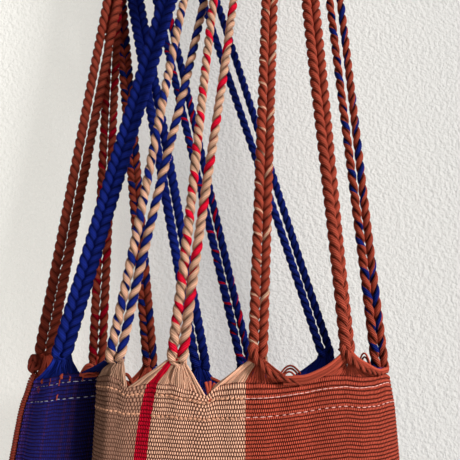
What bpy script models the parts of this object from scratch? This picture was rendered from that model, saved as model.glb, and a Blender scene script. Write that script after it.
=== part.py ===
"""Hammock bag: a handwoven cotton bag whose warp ends are drawn into twin cords round its mouth.

One cloth wraps round the bag from the left seam, over the front, round the right side and back.
Its bare warp ends are gathered into twelve fans, and each fan runs on as a pair of cords. The cords
of the front meet in one whipped collar, those of the back in another, and a handle joins the two.

Metres, +Z up. +X is to the right of someone who faces the front, and -Y points to them. The origin
is the underside of the handle's arch, where a hook or a shoulder carries the bag.
"""

import math
from collections import namedtuple

import bmesh
import bpy
from mathutils import Vector

MM = 0.001

# Overall heights, below the underside of the handle's arch
ROOT_Z = -595 * MM  # where the front cords leave their gathers
BOTTOM_Z = ROOT_Z - 300 * MM
COLLAR_LOW_Z = ROOT_Z + 487 * MM
COLLAR_HEIGHT = 30 * MM

# Cloth
CLOTH_WIDTH = 524 * MM  # flat, all the way round the bag
CLOTH_THICKNESS = 2 * MM
BOTTOM_HALF_GAP = 2.2 * MM  # half the distance between front and back cloth at the bottom seam
TOUCH_GAP = 0.3 * MM  # between pieces that touch
FAN_GAP = 1.6 * MM  # of bare cloth edge between two gathers
COLUMNS_PER_FAN = 6
FAN_ROWS = 2
FAN_CURVE = 1.5  # above 1, a fan's sides are hollow
BODY_ROWS = 14
TROUGHS = 3  # in the cloth under each gather
PUCKER_DEPTH = 1.4 * MM
PUCKER_LENGTH = 45 * MM

# Cords, collars, handle and seams
CORD_DIAMETER = 5.6 * MM
FAT_CORD_DIAMETER = 6.8 * MM
PAIR_GAP = 0.5 * MM  # between the two cords of a pair at their root
LOWER_SEGMENTS = 5
UPPER_SEGMENTS = 7
KEPT_CLOSED = 0.35  # share of the straight lower part in which a pair stays side by side
COLLAR_EASE = 0.6  # how far a cord has turned from its straight course when it enters its collar
CORD_END_STRAIGHT = 3 * MM
CORD_LIFT = 0.8 * MM  # over the top of its fan, whose rim leans
SLOT_PITCH = 6.4 * MM  # between cords where they enter a collar
COLLAR_WIDTH = 27 * MM
COLLAR_DEPTH = 21 * MM
COLLAR_CORNER = 6 * MM
COLLAR_RIM = 2 * MM
COLLAR_X = 64 * MM
COLLAR_Y = {1: -6 * MM, -1: 12 * MM}
HANDLE_DIAMETER = 20 * MM
HANDLE_SEGMENTS = 28
SEAM_ROLL_DIAMETER = 4.4 * MM
SEAM_KNOT_RADIUS = 4.2 * MM

# The cloth's path in plan, in mm: s runs along the cloth from the left seam, over the front first.
# The lip is the woven edge at the mouth, and the belly is half way down.
Plan = namedtuple("Plan", "s lip_x lip_y belly_x belly_y")
PLAN = (
    Plan(0, -108, -1.4, -124, -1.4),
    Plan(4, -104, -1.8, -120, -1.8),
    Plan(14, -98, -8, -112, -9),
    Plan(28, -87, -15, -97, -18),
    Plan(46, -72, -15, -80, -19),
    Plan(56, -62, -8, -71, -14),
    Plan(62, -59, -15, -66, -18),
    Plan(68, -61, -27, -63, -26),
    Plan(76, -54, -34, -57, -31),
    Plan(84, -48, -36, -50, -34),
    Plan(120, -14, -37.5, -16, -38),
    Plan(145, 10, -38, 9, -39),
    Plan(170, 33, -37, 34, -38),
    Plan(196, 58, -35, 60, -35),
    Plan(222, 83, -30, 85, -29),
    Plan(244, 103, -19, 107, -18),
    Plan(256, 113, -9, 118, -9),
    Plan(266, 117, 2, 123, 1),
    Plan(278, 111, 12, 118, 11),
    Plan(306, 82, 22, 93, 20),
    Plan(334, 54, 27, 67, 26),
    Plan(362, 26, 30, 40, 29),
    Plan(395, -5, 31, 7, 31),
    Plan(431, -40, 30, -29, 29),
    Plan(468, -73, 25, -66, 24),
    Plan(496, -95, 17, -94, 15),
    Plan(512, -104, 9, -112, 8),
    Plan(520, -104, 1.8, -120, 1.8),
    Plan(524, -108, 1.4, -124, 1.4),
)

# The gathers, in mm. A gather's warp comes from the cloth between start and end, and x, y, z is
# where it turns into cords, with z from ROOT_Z. turn is how far, in degrees, its pair of cords is
# turned away from standing side by side along X.
Gather = namedtuple("Gather", "name yarn start end x y z turn")
GATHERS = (
    Gather("front_blue", "blue", 0, 56, -87, -14, 1, 0),
    Gather("front_tan_blue", "tan", 56, 90, -50, -34, 0, 0),
    Gather("front_tan_red", "tan", 90, 137, -14, -36, 0, 0),
    Gather("front_rust_tan", "rust", 137, 190, 32, -36, 0, 10),
    Gather("front_rust", "rust", 190, 253, 85, -29, 2, 55),
    Gather("right_rust_blue", "rust", 253, 286, 112, 0, -4, 20),
    Gather("back_blue", "blue", 286, 334, 81, 21, -2, 0),
    Gather("back_blue_red", "blue", 334, 379, 26, 28, -8, 0),
    Gather("back_plain_blue", "blue", 379, 413, -5, 29, -10, 0),
    Gather("back_rust_blue", "rust", 413, 450, -40, 29, -9, 0),
    Gather("back_rust_red", "rust", 450, 486, -75, 23, -7, 0),
    Gather("left_rust", "rust", 486, 524, -106, 9, 1, 0),
)
LIP_DROP = 16 * MM  # from a gather's root to the woven edge under it
FAT_PAIR = "front_blue"

# The cords' routes, in mm, one for each gather in the same order. x, y, z is the middle of the pair
# half way up, with z from ROOT_Z, turn is its turn there and spread is how far apart its two cords
# are. The pair ends in a collar, 1 for the front one and -1 for the back one, in the given column,
# -1 or 1 for left or right, and row, -1 to 1 from front to back.
Route = namedtuple("Route", "x y z turn spread collar column row")
ROUTES = (
    Route(-27, -13.8, 240, -2, 7.5, 1, -1, 1),
    Route(-8, -25.6, 231, 16, 13.3, 1, -1, 0),
    Route(12, -29, 231, 10, 13, 1, -1, -1),
    Route(42, -31.5, 231, 25, 6.2, 1, 1, -1),
    Route(70, -23, 232, 47, 6.3, 1, 1, 0),
    Route(90, -7, 244, 20, 6.6, 1, 1, 1),
    Route(0, 17, 262, 0, 10.5, -1, 1, -1),
    Route(-37, 21.3, 264, 8, 7.4, -1, 1, 0),
    Route(-57, 24.2, 266, 44, 8.1, -1, 1, 1),
    Route(-70, 30, 264, 16, 6.2, -1, -1, 1),
    Route(-71.4, 16.7, 262, -9, 6.5, -1, -1, 0),
    Route(-71, 9, 255, 0, 8.4, -1, -1, -1),
)

COLOURS = {
    "rust": (0.40, 0.10, 0.045, 1),
    "blue": (0.012, 0.03, 0.20, 1),
    "tan": (0.48, 0.29, 0.16, 1),
}


def material(name):
    """A plain cotton material in one of the yarn colours."""
    made = bpy.data.materials.new(name)
    made.use_nodes = True
    shader = made.node_tree.nodes["Principled BSDF"]
    shader.inputs["Base Color"].default_value = COLOURS[name]
    shader.inputs["Roughness"].default_value = 0.9
    shader.inputs["Metallic"].default_value = 0
    return made


def plan_value(s, column):
    """A smooth value of one column of PLAN at s, by a cubic through the rows on each side."""
    last = len(PLAN) - 1
    i = max(k for k in range(last) if k == 0 or PLAN[k].s <= s)
    at = [max(0, i - 1), i, i + 1, min(last, i + 2)]
    p = [getattr(PLAN[k], column) for k in at]
    x = [PLAN[k].s for k in at]
    span = x[2] - x[1]
    slope_in = (p[2] - p[0]) / (x[2] - x[0]) * span
    slope_out = (p[3] - p[1]) / (x[3] - x[1]) * span
    f = (s - x[1]) / span
    return (
        p[1] * (1 + 2 * f) * (1 - f) ** 2
        + slope_in * f * (1 - f) ** 2
        + p[2] * f * f * (3 - 2 * f)
        - slope_out * f * f * (1 - f)
    )


def through(lip, belly, bottom, t):
    """A value that is lip at t 0, belly at t 0.5 and bottom at t 1."""
    return lip * (1 - t) * (1 - 2 * t) + belly * 4 * t * (1 - t) + bottom * t * (2 * t - 1)


def lip_z(s):
    """Height of the woven edge, which follows the roots of the gathers nearest to s."""
    middles = [((g.start + g.end) / 2, g.z) for g in GATHERS]
    before = max((m for m in middles if m[0] <= s), default=middles[0])
    after = min((m for m in middles if m[0] > s), default=middles[-1])
    span = max(after[0] - before[0], 1)
    f = min(max((s - before[0]) / span, 0), 1)
    return ROOT_Z - LIP_DROP + (before[1] + (after[1] - before[1]) * f) * MM


def pucker(s, down):
    """How far the cloth sinks in the troughs under a gather, which fade out below the woven edge."""
    gather = next(g for g in GATHERS if s <= g.end)
    across = (s - gather.start) / (gather.end - gather.start)
    trough = math.sin(TROUGHS * math.pi * across) ** 2
    return PUCKER_DEPTH * trough * math.exp(-down / PUCKER_LENGTH)


def cloth_point(s, t):
    """A point of the cloth: s in mm along it, and t from 0 at the woven edge to 1 at the bottom.

    Front and back leave the lip upright and meet at the bottom upright, so eased stands still at
    both ends.
    """
    eased = t + 2 * t * (t - 0.5) * (1 - t)
    half = CLOTH_WIDTH / MM / 2
    bottom_x = half / 2 - abs(s - half)
    gap = BOTTOM_HALF_GAP / MM
    bottom_y = gap * min(max((s - half) / (2 * gap), -1), 1)
    x = through(plan_value(s, "lip_x"), plan_value(s, "belly_x"), bottom_x, t)
    y = through(plan_value(s, "lip_y"), plan_value(s, "belly_y"), bottom_y, eased)
    z = lip_z(s) + (BOTTOM_Z - lip_z(s)) * t
    inward = -1 if y > 0 else 1
    y += inward * pucker(s, lip_z(s) - z) / MM
    return Vector((x * MM, y * MM, z))


def middle_of(pair):
    """The point of a gather or a route, in metres."""
    return Vector((pair.x * MM, pair.y * MM, ROOT_Z + pair.z * MM))


def smooth(f):
    """0 up to 0, 1 from 1 on, and an easy rise between them."""
    f = min(max(f, 0), 1)
    return f * f * (3 - 2 * f)


def mix(a, b, f):
    return a + (b - a) * f


def pair_point(centre, width, turn, side):
    """Where one cord of a pair is, beside the middle of the pair. side is -1 or 1."""
    turn = math.radians(turn)
    return centre + Vector((math.cos(turn), math.sin(turn), 0)) * width / 2 * side


def fan_point(gather, across, up):
    """A point of a gather's bare warp: across from 0 to 1, and up from 0 at the cloth to 1 at the cords.

    The warp closes in fast above the cloth and then runs nearly straight up into the cords.
    """
    s = gather.start + (gather.end - gather.start) * across
    foot = cloth_point(s, 0)
    head = pair_point(middle_of(gather), 2 * CORD_DIAMETER, gather.turn, 2 * across - 1)
    point = foot.lerp(head, 1 - (1 - up) ** FAN_CURVE)
    point.z = foot.z + (head.z - foot.z) * up
    return point


def fan_columns(gather):
    """The gather's own columns on the cloth, as shares of its width."""
    margin = FAN_GAP / MM / 2 / (gather.end - gather.start)
    low = 0 if gather.start == 0 else margin
    high = 1 if gather.end == CLOTH_WIDTH / MM else 1 - margin
    return [low + (high - low) * k / (COLUMNS_PER_FAN - 1) for k in range(COLUMNS_PER_FAN)]


def link(obj, colour):
    """Put a finished object into the part's collection alone, with its material."""
    obj.data.materials.append(material_of[colour])
    parts.objects.link(obj)
    for other in list(obj.users_collection):
        if other is not parts:
            other.objects.unlink(obj)
    return obj


def woven_cloth():
    """The bag's one cloth: a flat grid laid on its path, with the faces between two fans left out."""
    columns = [(g, a) for g in GATHERS for a in fan_columns(g)]
    rows = FAN_ROWS + BODY_ROWS
    bpy.ops.mesh.primitive_grid_add(x_subdivisions=len(columns) - 1, y_subdivisions=rows, size=2)
    cloth = bpy.context.object
    cloth.name = "body_cloth"
    bm = bmesh.new()
    bm.from_mesh(cloth.data)
    column = {v: round((v.co.x + 1) / 2 * (len(columns) - 1)) for v in bm.verts}
    row = {v: round((1 - v.co.y) / 2 * rows) for v in bm.verts}
    between = [
        face for face in bm.faces
        if min(row[v] for v in face.verts) < FAN_ROWS
        and len({columns[column[v]][0].name for v in face.verts}) > 1
    ]
    bmesh.ops.delete(bm, geom=between, context="FACES")
    for v in bm.verts:
        gather, across = columns[column[v]]
        if row[v] < FAN_ROWS:
            v.co = fan_point(gather, across, 1 - row[v] / FAN_ROWS)
        else:
            s = gather.start + (gather.end - gather.start) * across
            v.co = cloth_point(s, (row[v] - FAN_ROWS) / BODY_ROWS)
    bm.to_mesh(cloth.data)
    bm.free()
    wall = cloth.modifiers.new("thickness", "SOLIDIFY")
    wall.thickness = CLOTH_THICKNESS
    wall.offset = 0
    cloth.data.shade_smooth()
    link(cloth, "tan")


def tube(name, points, diameter, colour, resolution=2):
    """A round rod along points, with flat closed ends."""
    curve = bpy.data.curves.new(name, "CURVE")
    curve.dimensions = "3D"
    curve.bevel_depth = diameter / 2
    curve.bevel_resolution = resolution
    curve.use_fill_caps = True
    line = curve.splines.new("POLY")
    line.points.add(len(points) - 1)
    for point, place in zip(line.points, points):
        point.co = (*place, 1)
    return link(bpy.data.objects.new(name, curve), colour)


def cord_diameter(gather):
    """Of a gather's cords where they leave it."""
    return FAT_CORD_DIAMETER if gather.name == FAT_PAIR else CORD_DIAMETER


def cord_route(gather, route, side):
    """The middle of one cord of a pair, from its fan to its collar.

    The pair runs straight to its route's point and parts on the way, then bends into its collar.
    Both ends are upright for a short way.
    """
    closed = cord_diameter(gather) + PAIR_GAP
    straight = Vector((0, 0, CORD_END_STRAIGHT))
    root = middle_of(gather) + Vector((0, 0, CORD_LIFT))
    slot = Vector((
        route.collar * COLLAR_X + route.column * SLOT_PITCH,
        COLLAR_Y[route.collar] + route.row * SLOT_PITCH,
        COLLAR_LOW_Z - TOUCH_GAP,
    ))
    first, middle, last = root + straight, middle_of(route), slot - straight
    points = [pair_point(root, closed, gather.turn, side)]
    for k in range(LOWER_SEGMENTS + 1):
        f = k / LOWER_SEGMENTS
        parted = smooth((f - KEPT_CLOSED) / (1 - KEPT_CLOSED))
        width = mix(closed, route.spread * MM, parted)
        turn = mix(gather.turn, route.turn, parted)
        points.append(pair_point(first.lerp(middle, f), width, turn, side))
    rise = last.z - middle.z
    start_slope = (middle - first) * rise / (middle.z - first.z)
    end_slope = (last - middle) * COLLAR_EASE
    for k in range(1, UPPER_SEGMENTS + 1):
        f = k / UPPER_SEGMENTS
        centre = middle.lerp(last, smooth(f))
        centre += start_slope * f * (1 - f) ** 2 - end_slope * f * f * (1 - f)
        centre.z = middle.z + rise * f
        width = mix(route.spread * MM, SLOT_PITCH, smooth(f))
        points.append(pair_point(centre, width, mix(route.turn, 0, smooth(f)), side))
    return points + [pair_point(slot, SLOT_PITCH, 0, side)]


def cords():
    """Two cords from each gather, each its own piece. The fat pair is thin again at its collar."""
    for gather, route in zip(GATHERS, ROUTES):
        diameter = cord_diameter(gather)
        for side, label in ((-1, "a"), (1, "b")):
            points = cord_route(gather, route, side)
            rod = tube(f"cord_{gather.name}_{label}", points, diameter, gather.yarn)
            for point in rod.data.splines[0].points[1 - UPPER_SEGMENTS:]:
                point.radius = CORD_DIAMETER / diameter


def collar(name, x, y):
    """A whipped collar: a block with round corners over the ends of twelve cords."""
    bpy.ops.mesh.primitive_cube_add(size=1)
    block = bpy.context.object
    block.name = name
    bm = bmesh.new()
    bm.from_mesh(block.data)
    bmesh.ops.scale(bm, vec=(COLLAR_WIDTH, COLLAR_DEPTH, COLLAR_HEIGHT), verts=bm.verts)
    upright = [e for e in bm.edges if abs(e.verts[0].co.z - e.verts[1].co.z) > COLLAR_HEIGHT / 2]
    bmesh.ops.bevel(bm, geom=upright, offset=COLLAR_CORNER, segments=4, profile=0.5, affect="EDGES")
    bm.to_mesh(block.data)
    bm.free()
    block.location = (x, y, COLLAR_LOW_Z + COLLAR_HEIGHT / 2)
    rim = block.modifiers.new("rim", "BEVEL")
    rim.width = COLLAR_RIM
    rim.segments = 2
    rim.limit_method = "ANGLE"
    rim.angle_limit = math.radians(60)
    link(block, "rust")


def handle():
    """The arch between the two collars. Its underside is at the origin."""
    foot_z = COLLAR_LOW_Z + COLLAR_HEIGHT + TOUCH_GAP
    points = [(COLLAR_X, COLLAR_Y[1], foot_z)]
    foot_z += CORD_END_STRAIGHT
    rise = HANDLE_DIAMETER / 2 - foot_z
    for k in range(HANDLE_SEGMENTS + 1):
        angle = math.pi * k / HANDLE_SEGMENTS
        share = (1 - math.cos(angle)) / 2
        y = COLLAR_Y[1] + (COLLAR_Y[-1] - COLLAR_Y[1]) * share
        points.append((COLLAR_X * math.cos(angle), y, foot_z + rise * math.sin(angle)))
    points.append((-COLLAR_X, COLLAR_Y[-1], foot_z - CORD_END_STRAIGHT))
    tube("handle", points, HANDLE_DIAMETER, "rust", resolution=4)


def seams():
    """The rust yarn that is whipped over the left edges and the bottom edges, and its knot."""
    out = TOUCH_GAP + SEAM_ROLL_DIAMETER / 2
    edge = [cloth_point(0, k / BODY_ROWS) for k in range(BODY_ROWS + 1)]
    side = [Vector((point.x - out, 0, point.z)) for point in edge]
    tube("side_seam", side, SEAM_ROLL_DIAMETER, "rust")
    half = CLOTH_WIDTH / 4
    low = BOTTOM_Z - out
    tube("bottom_seam", [(-half, 0, low), (half, 0, low)], SEAM_ROLL_DIAMETER, "rust")
    bpy.ops.mesh.primitive_uv_sphere_add(
        segments=10,
        ring_count=7,
        radius=SEAM_KNOT_RADIUS,
        location=side[0] + Vector((0, 0, SEAM_KNOT_RADIUS + TOUCH_GAP)),
    )
    knot = bpy.context.object
    knot.name = "seam_knot"
    knot.data.shade_smooth()
    link(knot, "rust")


for old in list(bpy.data.objects):
    bpy.data.objects.remove(old)
parts = bpy.data.collections.new("hammock_bag")
bpy.context.scene.collection.children.link(parts)
material_of = {name: material(name) for name in COLOURS}

woven_cloth()
cords()
collar("front_collar", COLLAR_X, COLLAR_Y[1])
collar("back_collar", -COLLAR_X, COLLAR_Y[-1])
handle()
seams()
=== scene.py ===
# %% [markdown]
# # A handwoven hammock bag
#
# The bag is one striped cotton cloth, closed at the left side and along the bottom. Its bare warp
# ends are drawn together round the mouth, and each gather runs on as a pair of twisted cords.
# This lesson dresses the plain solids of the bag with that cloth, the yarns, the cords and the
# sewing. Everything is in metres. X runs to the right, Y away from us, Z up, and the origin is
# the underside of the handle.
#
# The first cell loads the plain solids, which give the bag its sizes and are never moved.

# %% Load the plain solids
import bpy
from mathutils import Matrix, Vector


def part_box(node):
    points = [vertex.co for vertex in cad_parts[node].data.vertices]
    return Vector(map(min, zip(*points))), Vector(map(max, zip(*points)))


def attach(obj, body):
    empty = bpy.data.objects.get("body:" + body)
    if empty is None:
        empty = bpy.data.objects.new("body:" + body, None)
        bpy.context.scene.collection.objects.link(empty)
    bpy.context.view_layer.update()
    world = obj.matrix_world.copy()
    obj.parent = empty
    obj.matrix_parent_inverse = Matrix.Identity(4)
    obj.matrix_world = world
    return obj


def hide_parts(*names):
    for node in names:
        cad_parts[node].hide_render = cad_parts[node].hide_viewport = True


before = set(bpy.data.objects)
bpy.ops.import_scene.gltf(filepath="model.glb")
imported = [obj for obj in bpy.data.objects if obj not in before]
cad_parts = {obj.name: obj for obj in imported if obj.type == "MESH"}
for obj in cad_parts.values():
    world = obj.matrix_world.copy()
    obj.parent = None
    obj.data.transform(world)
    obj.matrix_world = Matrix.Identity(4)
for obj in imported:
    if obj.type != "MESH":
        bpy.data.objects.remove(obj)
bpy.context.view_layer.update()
print(len(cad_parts), "solids loaded")

# %% [markdown]
# ## Tools and units
#
# Tables of a bag's sizes read best in millimetres, and Blender works in metres, so MM turns one
# into the other.

# %% Tools for the lesson
import math
import random
from collections import namedtuple

import bpy
import numpy as np
from mathutils import Vector, noise

MM = 0.001
print("Blender", bpy.app.version_string)

# %% [markdown]
# ## The camera
#
# The lens is close to the bag, level with the lower ends of the cords, and looks a little upwards,
# so that the cords in front look thicker than those behind. Blender wants a focal length in
# millimetres, which follows from the sensor's width and the picture's size.

# %% Camera
ROOT_Z = -595 * MM  # where the front cords leave the cloth
PICTURE_PIXELS = 460
FOCAL_PIXELS = 500
SENSOR_WIDTH = 36
CAMERA_PLACE = (16 * MM, -330 * MM, ROOT_Z + 29.5 * MM)
CAMERA_PITCH = 9  # degrees above level

camera_data = bpy.data.cameras.new("camera")
camera_data.sensor_width = SENSOR_WIDTH
camera_data.lens = SENSOR_WIDTH * FOCAL_PIXELS / PICTURE_PIXELS
camera_data.clip_start = 10 * MM
camera = bpy.data.objects.new("camera", camera_data)
camera.location = CAMERA_PLACE
camera.rotation_euler = (math.radians(90 + CAMERA_PITCH), 0, 0)
bpy.context.scene.collection.objects.link(camera)
bpy.context.scene.camera = camera
print("lens", round(camera_data.lens, 1), "mm")

# %% [markdown]
# ## A way to write node trees
#
# Finishes and repeated shapes are both node trees. Two small classes keep them readable: a bench
# adds any node with one call, and a wire is a node's output that can be added, multiplied or
# compared like a number, so that shader maths reads as a sum.


# %% Wire
class Wire:
    """An output of a node that takes part in sums."""

    def __init__(self, bench, socket):
        self.bench = bench
        self.socket = socket

    def other(self, name):
        """Another output of the same node."""
        return Wire(self.bench, self.socket.node.outputs[name])

    def sum(self, operation, *values):
        """A Math node that works on wires and numbers."""
        return self.bench.add("ShaderNodeMath", {"operation": operation}, dict(enumerate(values)))

    def __add__(self, value):
        return self.sum("ADD", self, value)

    def __radd__(self, value):
        return self.sum("ADD", value, self)

    def __sub__(self, value):
        return self.sum("SUBTRACT", self, value)

    def __rsub__(self, value):
        return self.sum("SUBTRACT", value, self)

    def __mul__(self, value):
        return self.sum("MULTIPLY", self, value)

    def __rmul__(self, value):
        return self.sum("MULTIPLY", value, self)

    def __truediv__(self, value):
        return self.sum("DIVIDE", self, value)

    def __pow__(self, value):
        return self.sum("POWER", self, value)

    def __gt__(self, value):
        return self.sum("GREATER_THAN", self, value)

    def __lt__(self, value):
        return self.sum("LESS_THAN", self, value)

    def floor(self):
        return self.sum("FLOOR", self)

    def part(self):
        """What is left above the whole number."""
        return self.sum("FRACT", self)

    def size(self):
        return self.sum("ABSOLUTE", self)

    def held(self):
        """Kept between 0 and 1."""
        return self.sum("MINIMUM", self.sum("MAXIMUM", self, 0), 1)

    def sine(self):
        return self.sum("SINE", self)

    def cosine(self):
        return self.sum("COSINE", self)


print("a wire can do", sum(callable(item) for item in vars(Wire).values()), "things")


# %% Bench
class Bench:
    """A node tree that is being laid out."""

    def __init__(self, tree):
        self.tree = tree

    def add(self, kind, settings=None, sockets=None):
        """One node: its type, then its settings, then the values or wires of its sockets."""
        node = self.tree.nodes.new(kind)
        for name, value in (settings or {}).items():
            setattr(node, name, value)
        for name, value in (sockets or {}).items():
            if isinstance(value, Wire):
                self.tree.links.new(value.socket, node.inputs[name])
            else:
                node.inputs[name].default_value = value
        shown = [socket for socket in node.outputs if socket.enabled]
        return Wire(self, shown[0]) if shown else node

    def blend(self, share, a, b):
        """A colour that is a where share is 0 and b where it is 1."""
        return self.add("ShaderNodeMix", {"data_type": "RGBA"}, {0: share, 6: a, 7: b})

    def shade(self, colour, light):
        """A colour made darker or lighter by a number."""
        if not isinstance(colour, Wire):
            colour = colour[:3]
        grey = self.add("ShaderNodeCombineXYZ", None, {0: light, 1: light, 2: light})
        return self.vector("MULTIPLY", colour, grey)

    def vector(self, operation, *values):
        """A Vector Math node."""
        return self.add("ShaderNodeVectorMath", {"operation": operation}, dict(enumerate(values)))

    def scale(self, vector, factor):
        """A vector made longer or shorter by a number."""
        sockets = {"Vector": vector, "Scale": factor}
        return self.add("ShaderNodeVectorMath", {"operation": "SCALE"}, sockets)

    def place(self):
        """Where a point is, in metres."""
        return self.add("ShaderNodeTexCoord").other("Object")

    def lay(self):
        """The two numbers of the UV map that follows the threads."""
        uv = self.add("ShaderNodeUVMap", {"uv_map": "lay"})
        along = self.add("ShaderNodeSeparateXYZ", None, {0: uv})
        return along, along.other("Y")

    def cloud(self, place, scale, detail):
        """Soft noise in space."""
        return self.add("ShaderNodeTexNoise", None, {"Vector": place, "Scale": scale, "Detail": detail})

    def draw(self, first, second):
        """A random number that stays the same for the same pair of numbers."""
        pair = self.add("ShaderNodeCombineXYZ", None, {0: first, 1: second})
        return self.add("ShaderNodeTexWhiteNoise", {"noise_dimensions": "2D"}, {"Vector": pair})

    def bump(self, height, strength, depth):
        """Small relief for light to catch, depth in metres."""
        sockets = {"Strength": strength, "Distance": depth, "Height": height}
        return self.add("ShaderNodeBump", None, sockets)


print("and a bench", sum(callable(item) for item in vars(Bench).values()))

# %% [markdown]
# ## Cotton colours
#
# Four yarns make the cloth and most of the cords: a rust red, a deep blue, a natural tan and a
# bright red. A pinker red is laid into one pair of cords, and the hem is sewn with a pale thread.
# The weft between the warp floats lies in the shade, so its colours are the weft's own dyes with
# painted shade in them. Colours in Blender are linear light, and a small function turns the usual
# 0 to 255 values into it.


# %% Yarn colours
def linear(red, green, blue):
    """A colour given as 0 to 255 values, as linear light."""
    values = [c / 255 for c in (red, green, blue)]
    return (*[c / 12.92 if c < 0.04045 else ((c + 0.055) / 1.055) ** 2.4 for c in values], 1)


COTTON = {
    "rust": linear(182, 78, 58),
    "blue": linear(20, 36, 122),
    "tan": linear(228, 176, 146),
    "red": linear(196, 8, 40),
    "pink": linear(232, 18, 52),
    "pale": linear(236, 178, 168),
}
# Colours of the weft in the gaps between floats: its own dyes, darkened with painted shade
SHADED_WEFT_RUST = linear(84, 15, 12)
SHADED_WEFT_BROWN = linear(116, 48, 40)
SHADED_WEFT_PURPLE = linear(90, 44, 74)

# Where each stripe of the cloth starts, in mm along it from the left seam
Stripe = namedtuple("Stripe", "start yarn")
STRIPES = [Stripe(*row) for row in (
    (0, "blue"), (62, "tan"), (96, "red"), (104, "tan"),
    (161, "rust"), (268, "blue"), (345, "red"), (352, "blue"),
    (428, "rust"), (470, "red"), (477, "rust"),
)]
print(len(STRIPES), "stripes round the bag")

# %% [markdown]
# ## Light
#
# A wide soft light from the upper right models the cords, a weaker one fills from the left, and
# one behind lets the back be seen. Area lights give the soft shadows of a bright room, where a sun
# lamp would draw a hard edge beside every cord.

# %% World and lights
world = bpy.data.worlds.new("studio")
world.use_nodes = True
world.node_tree.nodes["Background"].inputs["Color"].default_value = (1, 0.99, 0.97, 1)
world.node_tree.nodes["Background"].inputs["Strength"].default_value = 0.13
bpy.context.scene.world = world
bpy.context.scene.view_settings.view_transform = "Standard"


def soft_light(name, place, width, power):
    """A square light that looks at the cords' lower ends."""
    data = bpy.data.lights.new(name, "AREA")
    data.size = width
    data.energy = power
    lamp = bpy.data.objects.new(name, data)
    lamp.location = place
    lamp.rotation_euler = (Vector((0, 0, ROOT_Z)) - Vector(place)).to_track_quat("-Z", "Y").to_euler()
    bpy.context.scene.collection.objects.link(lamp)


soft_light("key_light", (3.3, -2.3, 0.9), 1.1, 200)
soft_light("fill_light", (-1.6, -2.8, -0.2), 2.0, 6)
soft_light("back_light", (-0.6, 2.0, 0.4), 1.4, 30)
print("three soft lights")

# %% [markdown]
# ## Wall and floor
#
# The bag hangs in front of a plastered wall, over a plain floor. Both are only a stage. The plaster
# is a noise of two sizes that bumps a plain white. Part of its brightness is a glow of its own, which
# is painted light, a little darker behind the bag, as a painted shadow, and at the right, because the
# studio lights alone would leave it grey. Its back is clear, so that the bag can be seen from behind.

# %% Wall and floor
WALL_Y = 58 * MM
FLOOR_Z = -1.0
STAGE_WIDTH = 6.0
PEBBLES = ((560, 2), (290, 1))  # scale and detail of the two sizes of grain
PEBBLE_DEPTH = 2 * MM
WALL_PAINT = linear(160, 158, 155)
# Glow of the wall, which is painted light: at the left, at the right, and darker in the middle as a
# painted shadow of the bag
WALL_GLOW = (linear(212, 210, 203), linear(176, 175, 172), linear(164, 162, 161))  # left, right, middle


def stage_plane(name, centre, turn):
    """A large square that isn't part of the bag."""
    bpy.ops.mesh.primitive_plane_add(size=STAGE_WIDTH, location=centre, rotation=turn)
    plane = bpy.context.object
    plane.name = name
    bpy.ops.object.transform_apply(location=True, rotation=True, scale=True)
    return plane


def plaster():
    """Off-white plaster with a fine pebbled skin, clear to the camera from behind."""
    made = bpy.data.materials.new("plaster")
    made.use_nodes = True
    made.node_tree.nodes.clear()
    bench = Bench(made.node_tree)
    place = bench.place()
    fine, coarse = (bench.cloud(place, *grain) for grain in PEBBLES)
    sockets = {"Color": WALL_PAINT, "Normal": bench.bump(fine + coarse, 0.9, PEBBLE_DEPTH)}
    paint = bench.add("ShaderNodeBsdfDiffuse", None, sockets)
    x = bench.add("ShaderNodeSeparateXYZ", None, {0: place})
    left, right, middle = WALL_GLOW
    tint = bench.blend(((x + 0.2) * 2.5).held(), left, right)
    # Painted shadow of the bag on the wall
    tint = bench.blend((1 - (x - 0.01).size() * 9).held() * 0.8, tint, middle)  # behind the bag
    glow = bench.add("ShaderNodeEmission", None, {"Color": tint, "Strength": 1.0})
    paint = bench.add("ShaderNodeAddShader", None, {0: paint, 1: glow})
    behind = bench.add("ShaderNodeNewGeometry").other("Backfacing")
    clear = bench.add("ShaderNodeBsdfTransparent")
    surface = bench.add("ShaderNodeMixShader", None, {0: behind, 1: paint, 2: clear})
    bench.add("ShaderNodeOutputMaterial", None, {"Surface": surface})
    return made


wall = stage_plane("wall", (0, WALL_Y, FLOOR_Z + STAGE_WIDTH / 2), (math.radians(90), 0, 0))
wall.data.materials.append(plaster())
wall.visible_diffuse = False
wall.visible_shadow = False
wall.visible_glossy = False

floor = stage_plane("floor", (0, 0, FLOOR_Z), (0, 0, 0))
pale = bpy.data.materials.new("pale_floor")
pale.use_nodes = True
pale.node_tree.nodes["Principled BSDF"].inputs["Base Color"].default_value = linear(226, 224, 219)
pale.node_tree.nodes["Principled BSDF"].inputs["Roughness"].default_value = 0.8
floor.data.materials.append(pale)
print("wall at y", WALL_Y, "and floor at z", FLOOR_Z)

# %% [markdown]
# ## The cloth's course
#
# The cloth leaves the left seam, covers the front, turns at the right and comes back behind. A
# table gives its path in plan at the woven edge, called its lip here, and half way down, at its
# belly. A second table holds the gathers: the stretch of warp that each one takes, the root where
# it goes over into its pair of cords, and how far that pair is turned. A bag could be sculpted by
# eye, but with tables every later piece can ask where the cloth is.

# %% Tables of the cloth
BOTTOM_Z = ROOT_Z - 300 * MM
CLOTH_WIDTH = 524  # mm, all the way round
BOTTOM_HALF_GAP = 2.2  # mm, from front or back cloth to the middle at the bottom
LIP_DROP = 16 * MM  # from a gather's root down to the woven edge
TROUGHS = 3  # in the cloth under each gather
PUCKER_DEPTH = 1.4 * MM
PUCKER_LENGTH = 45 * MM

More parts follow.
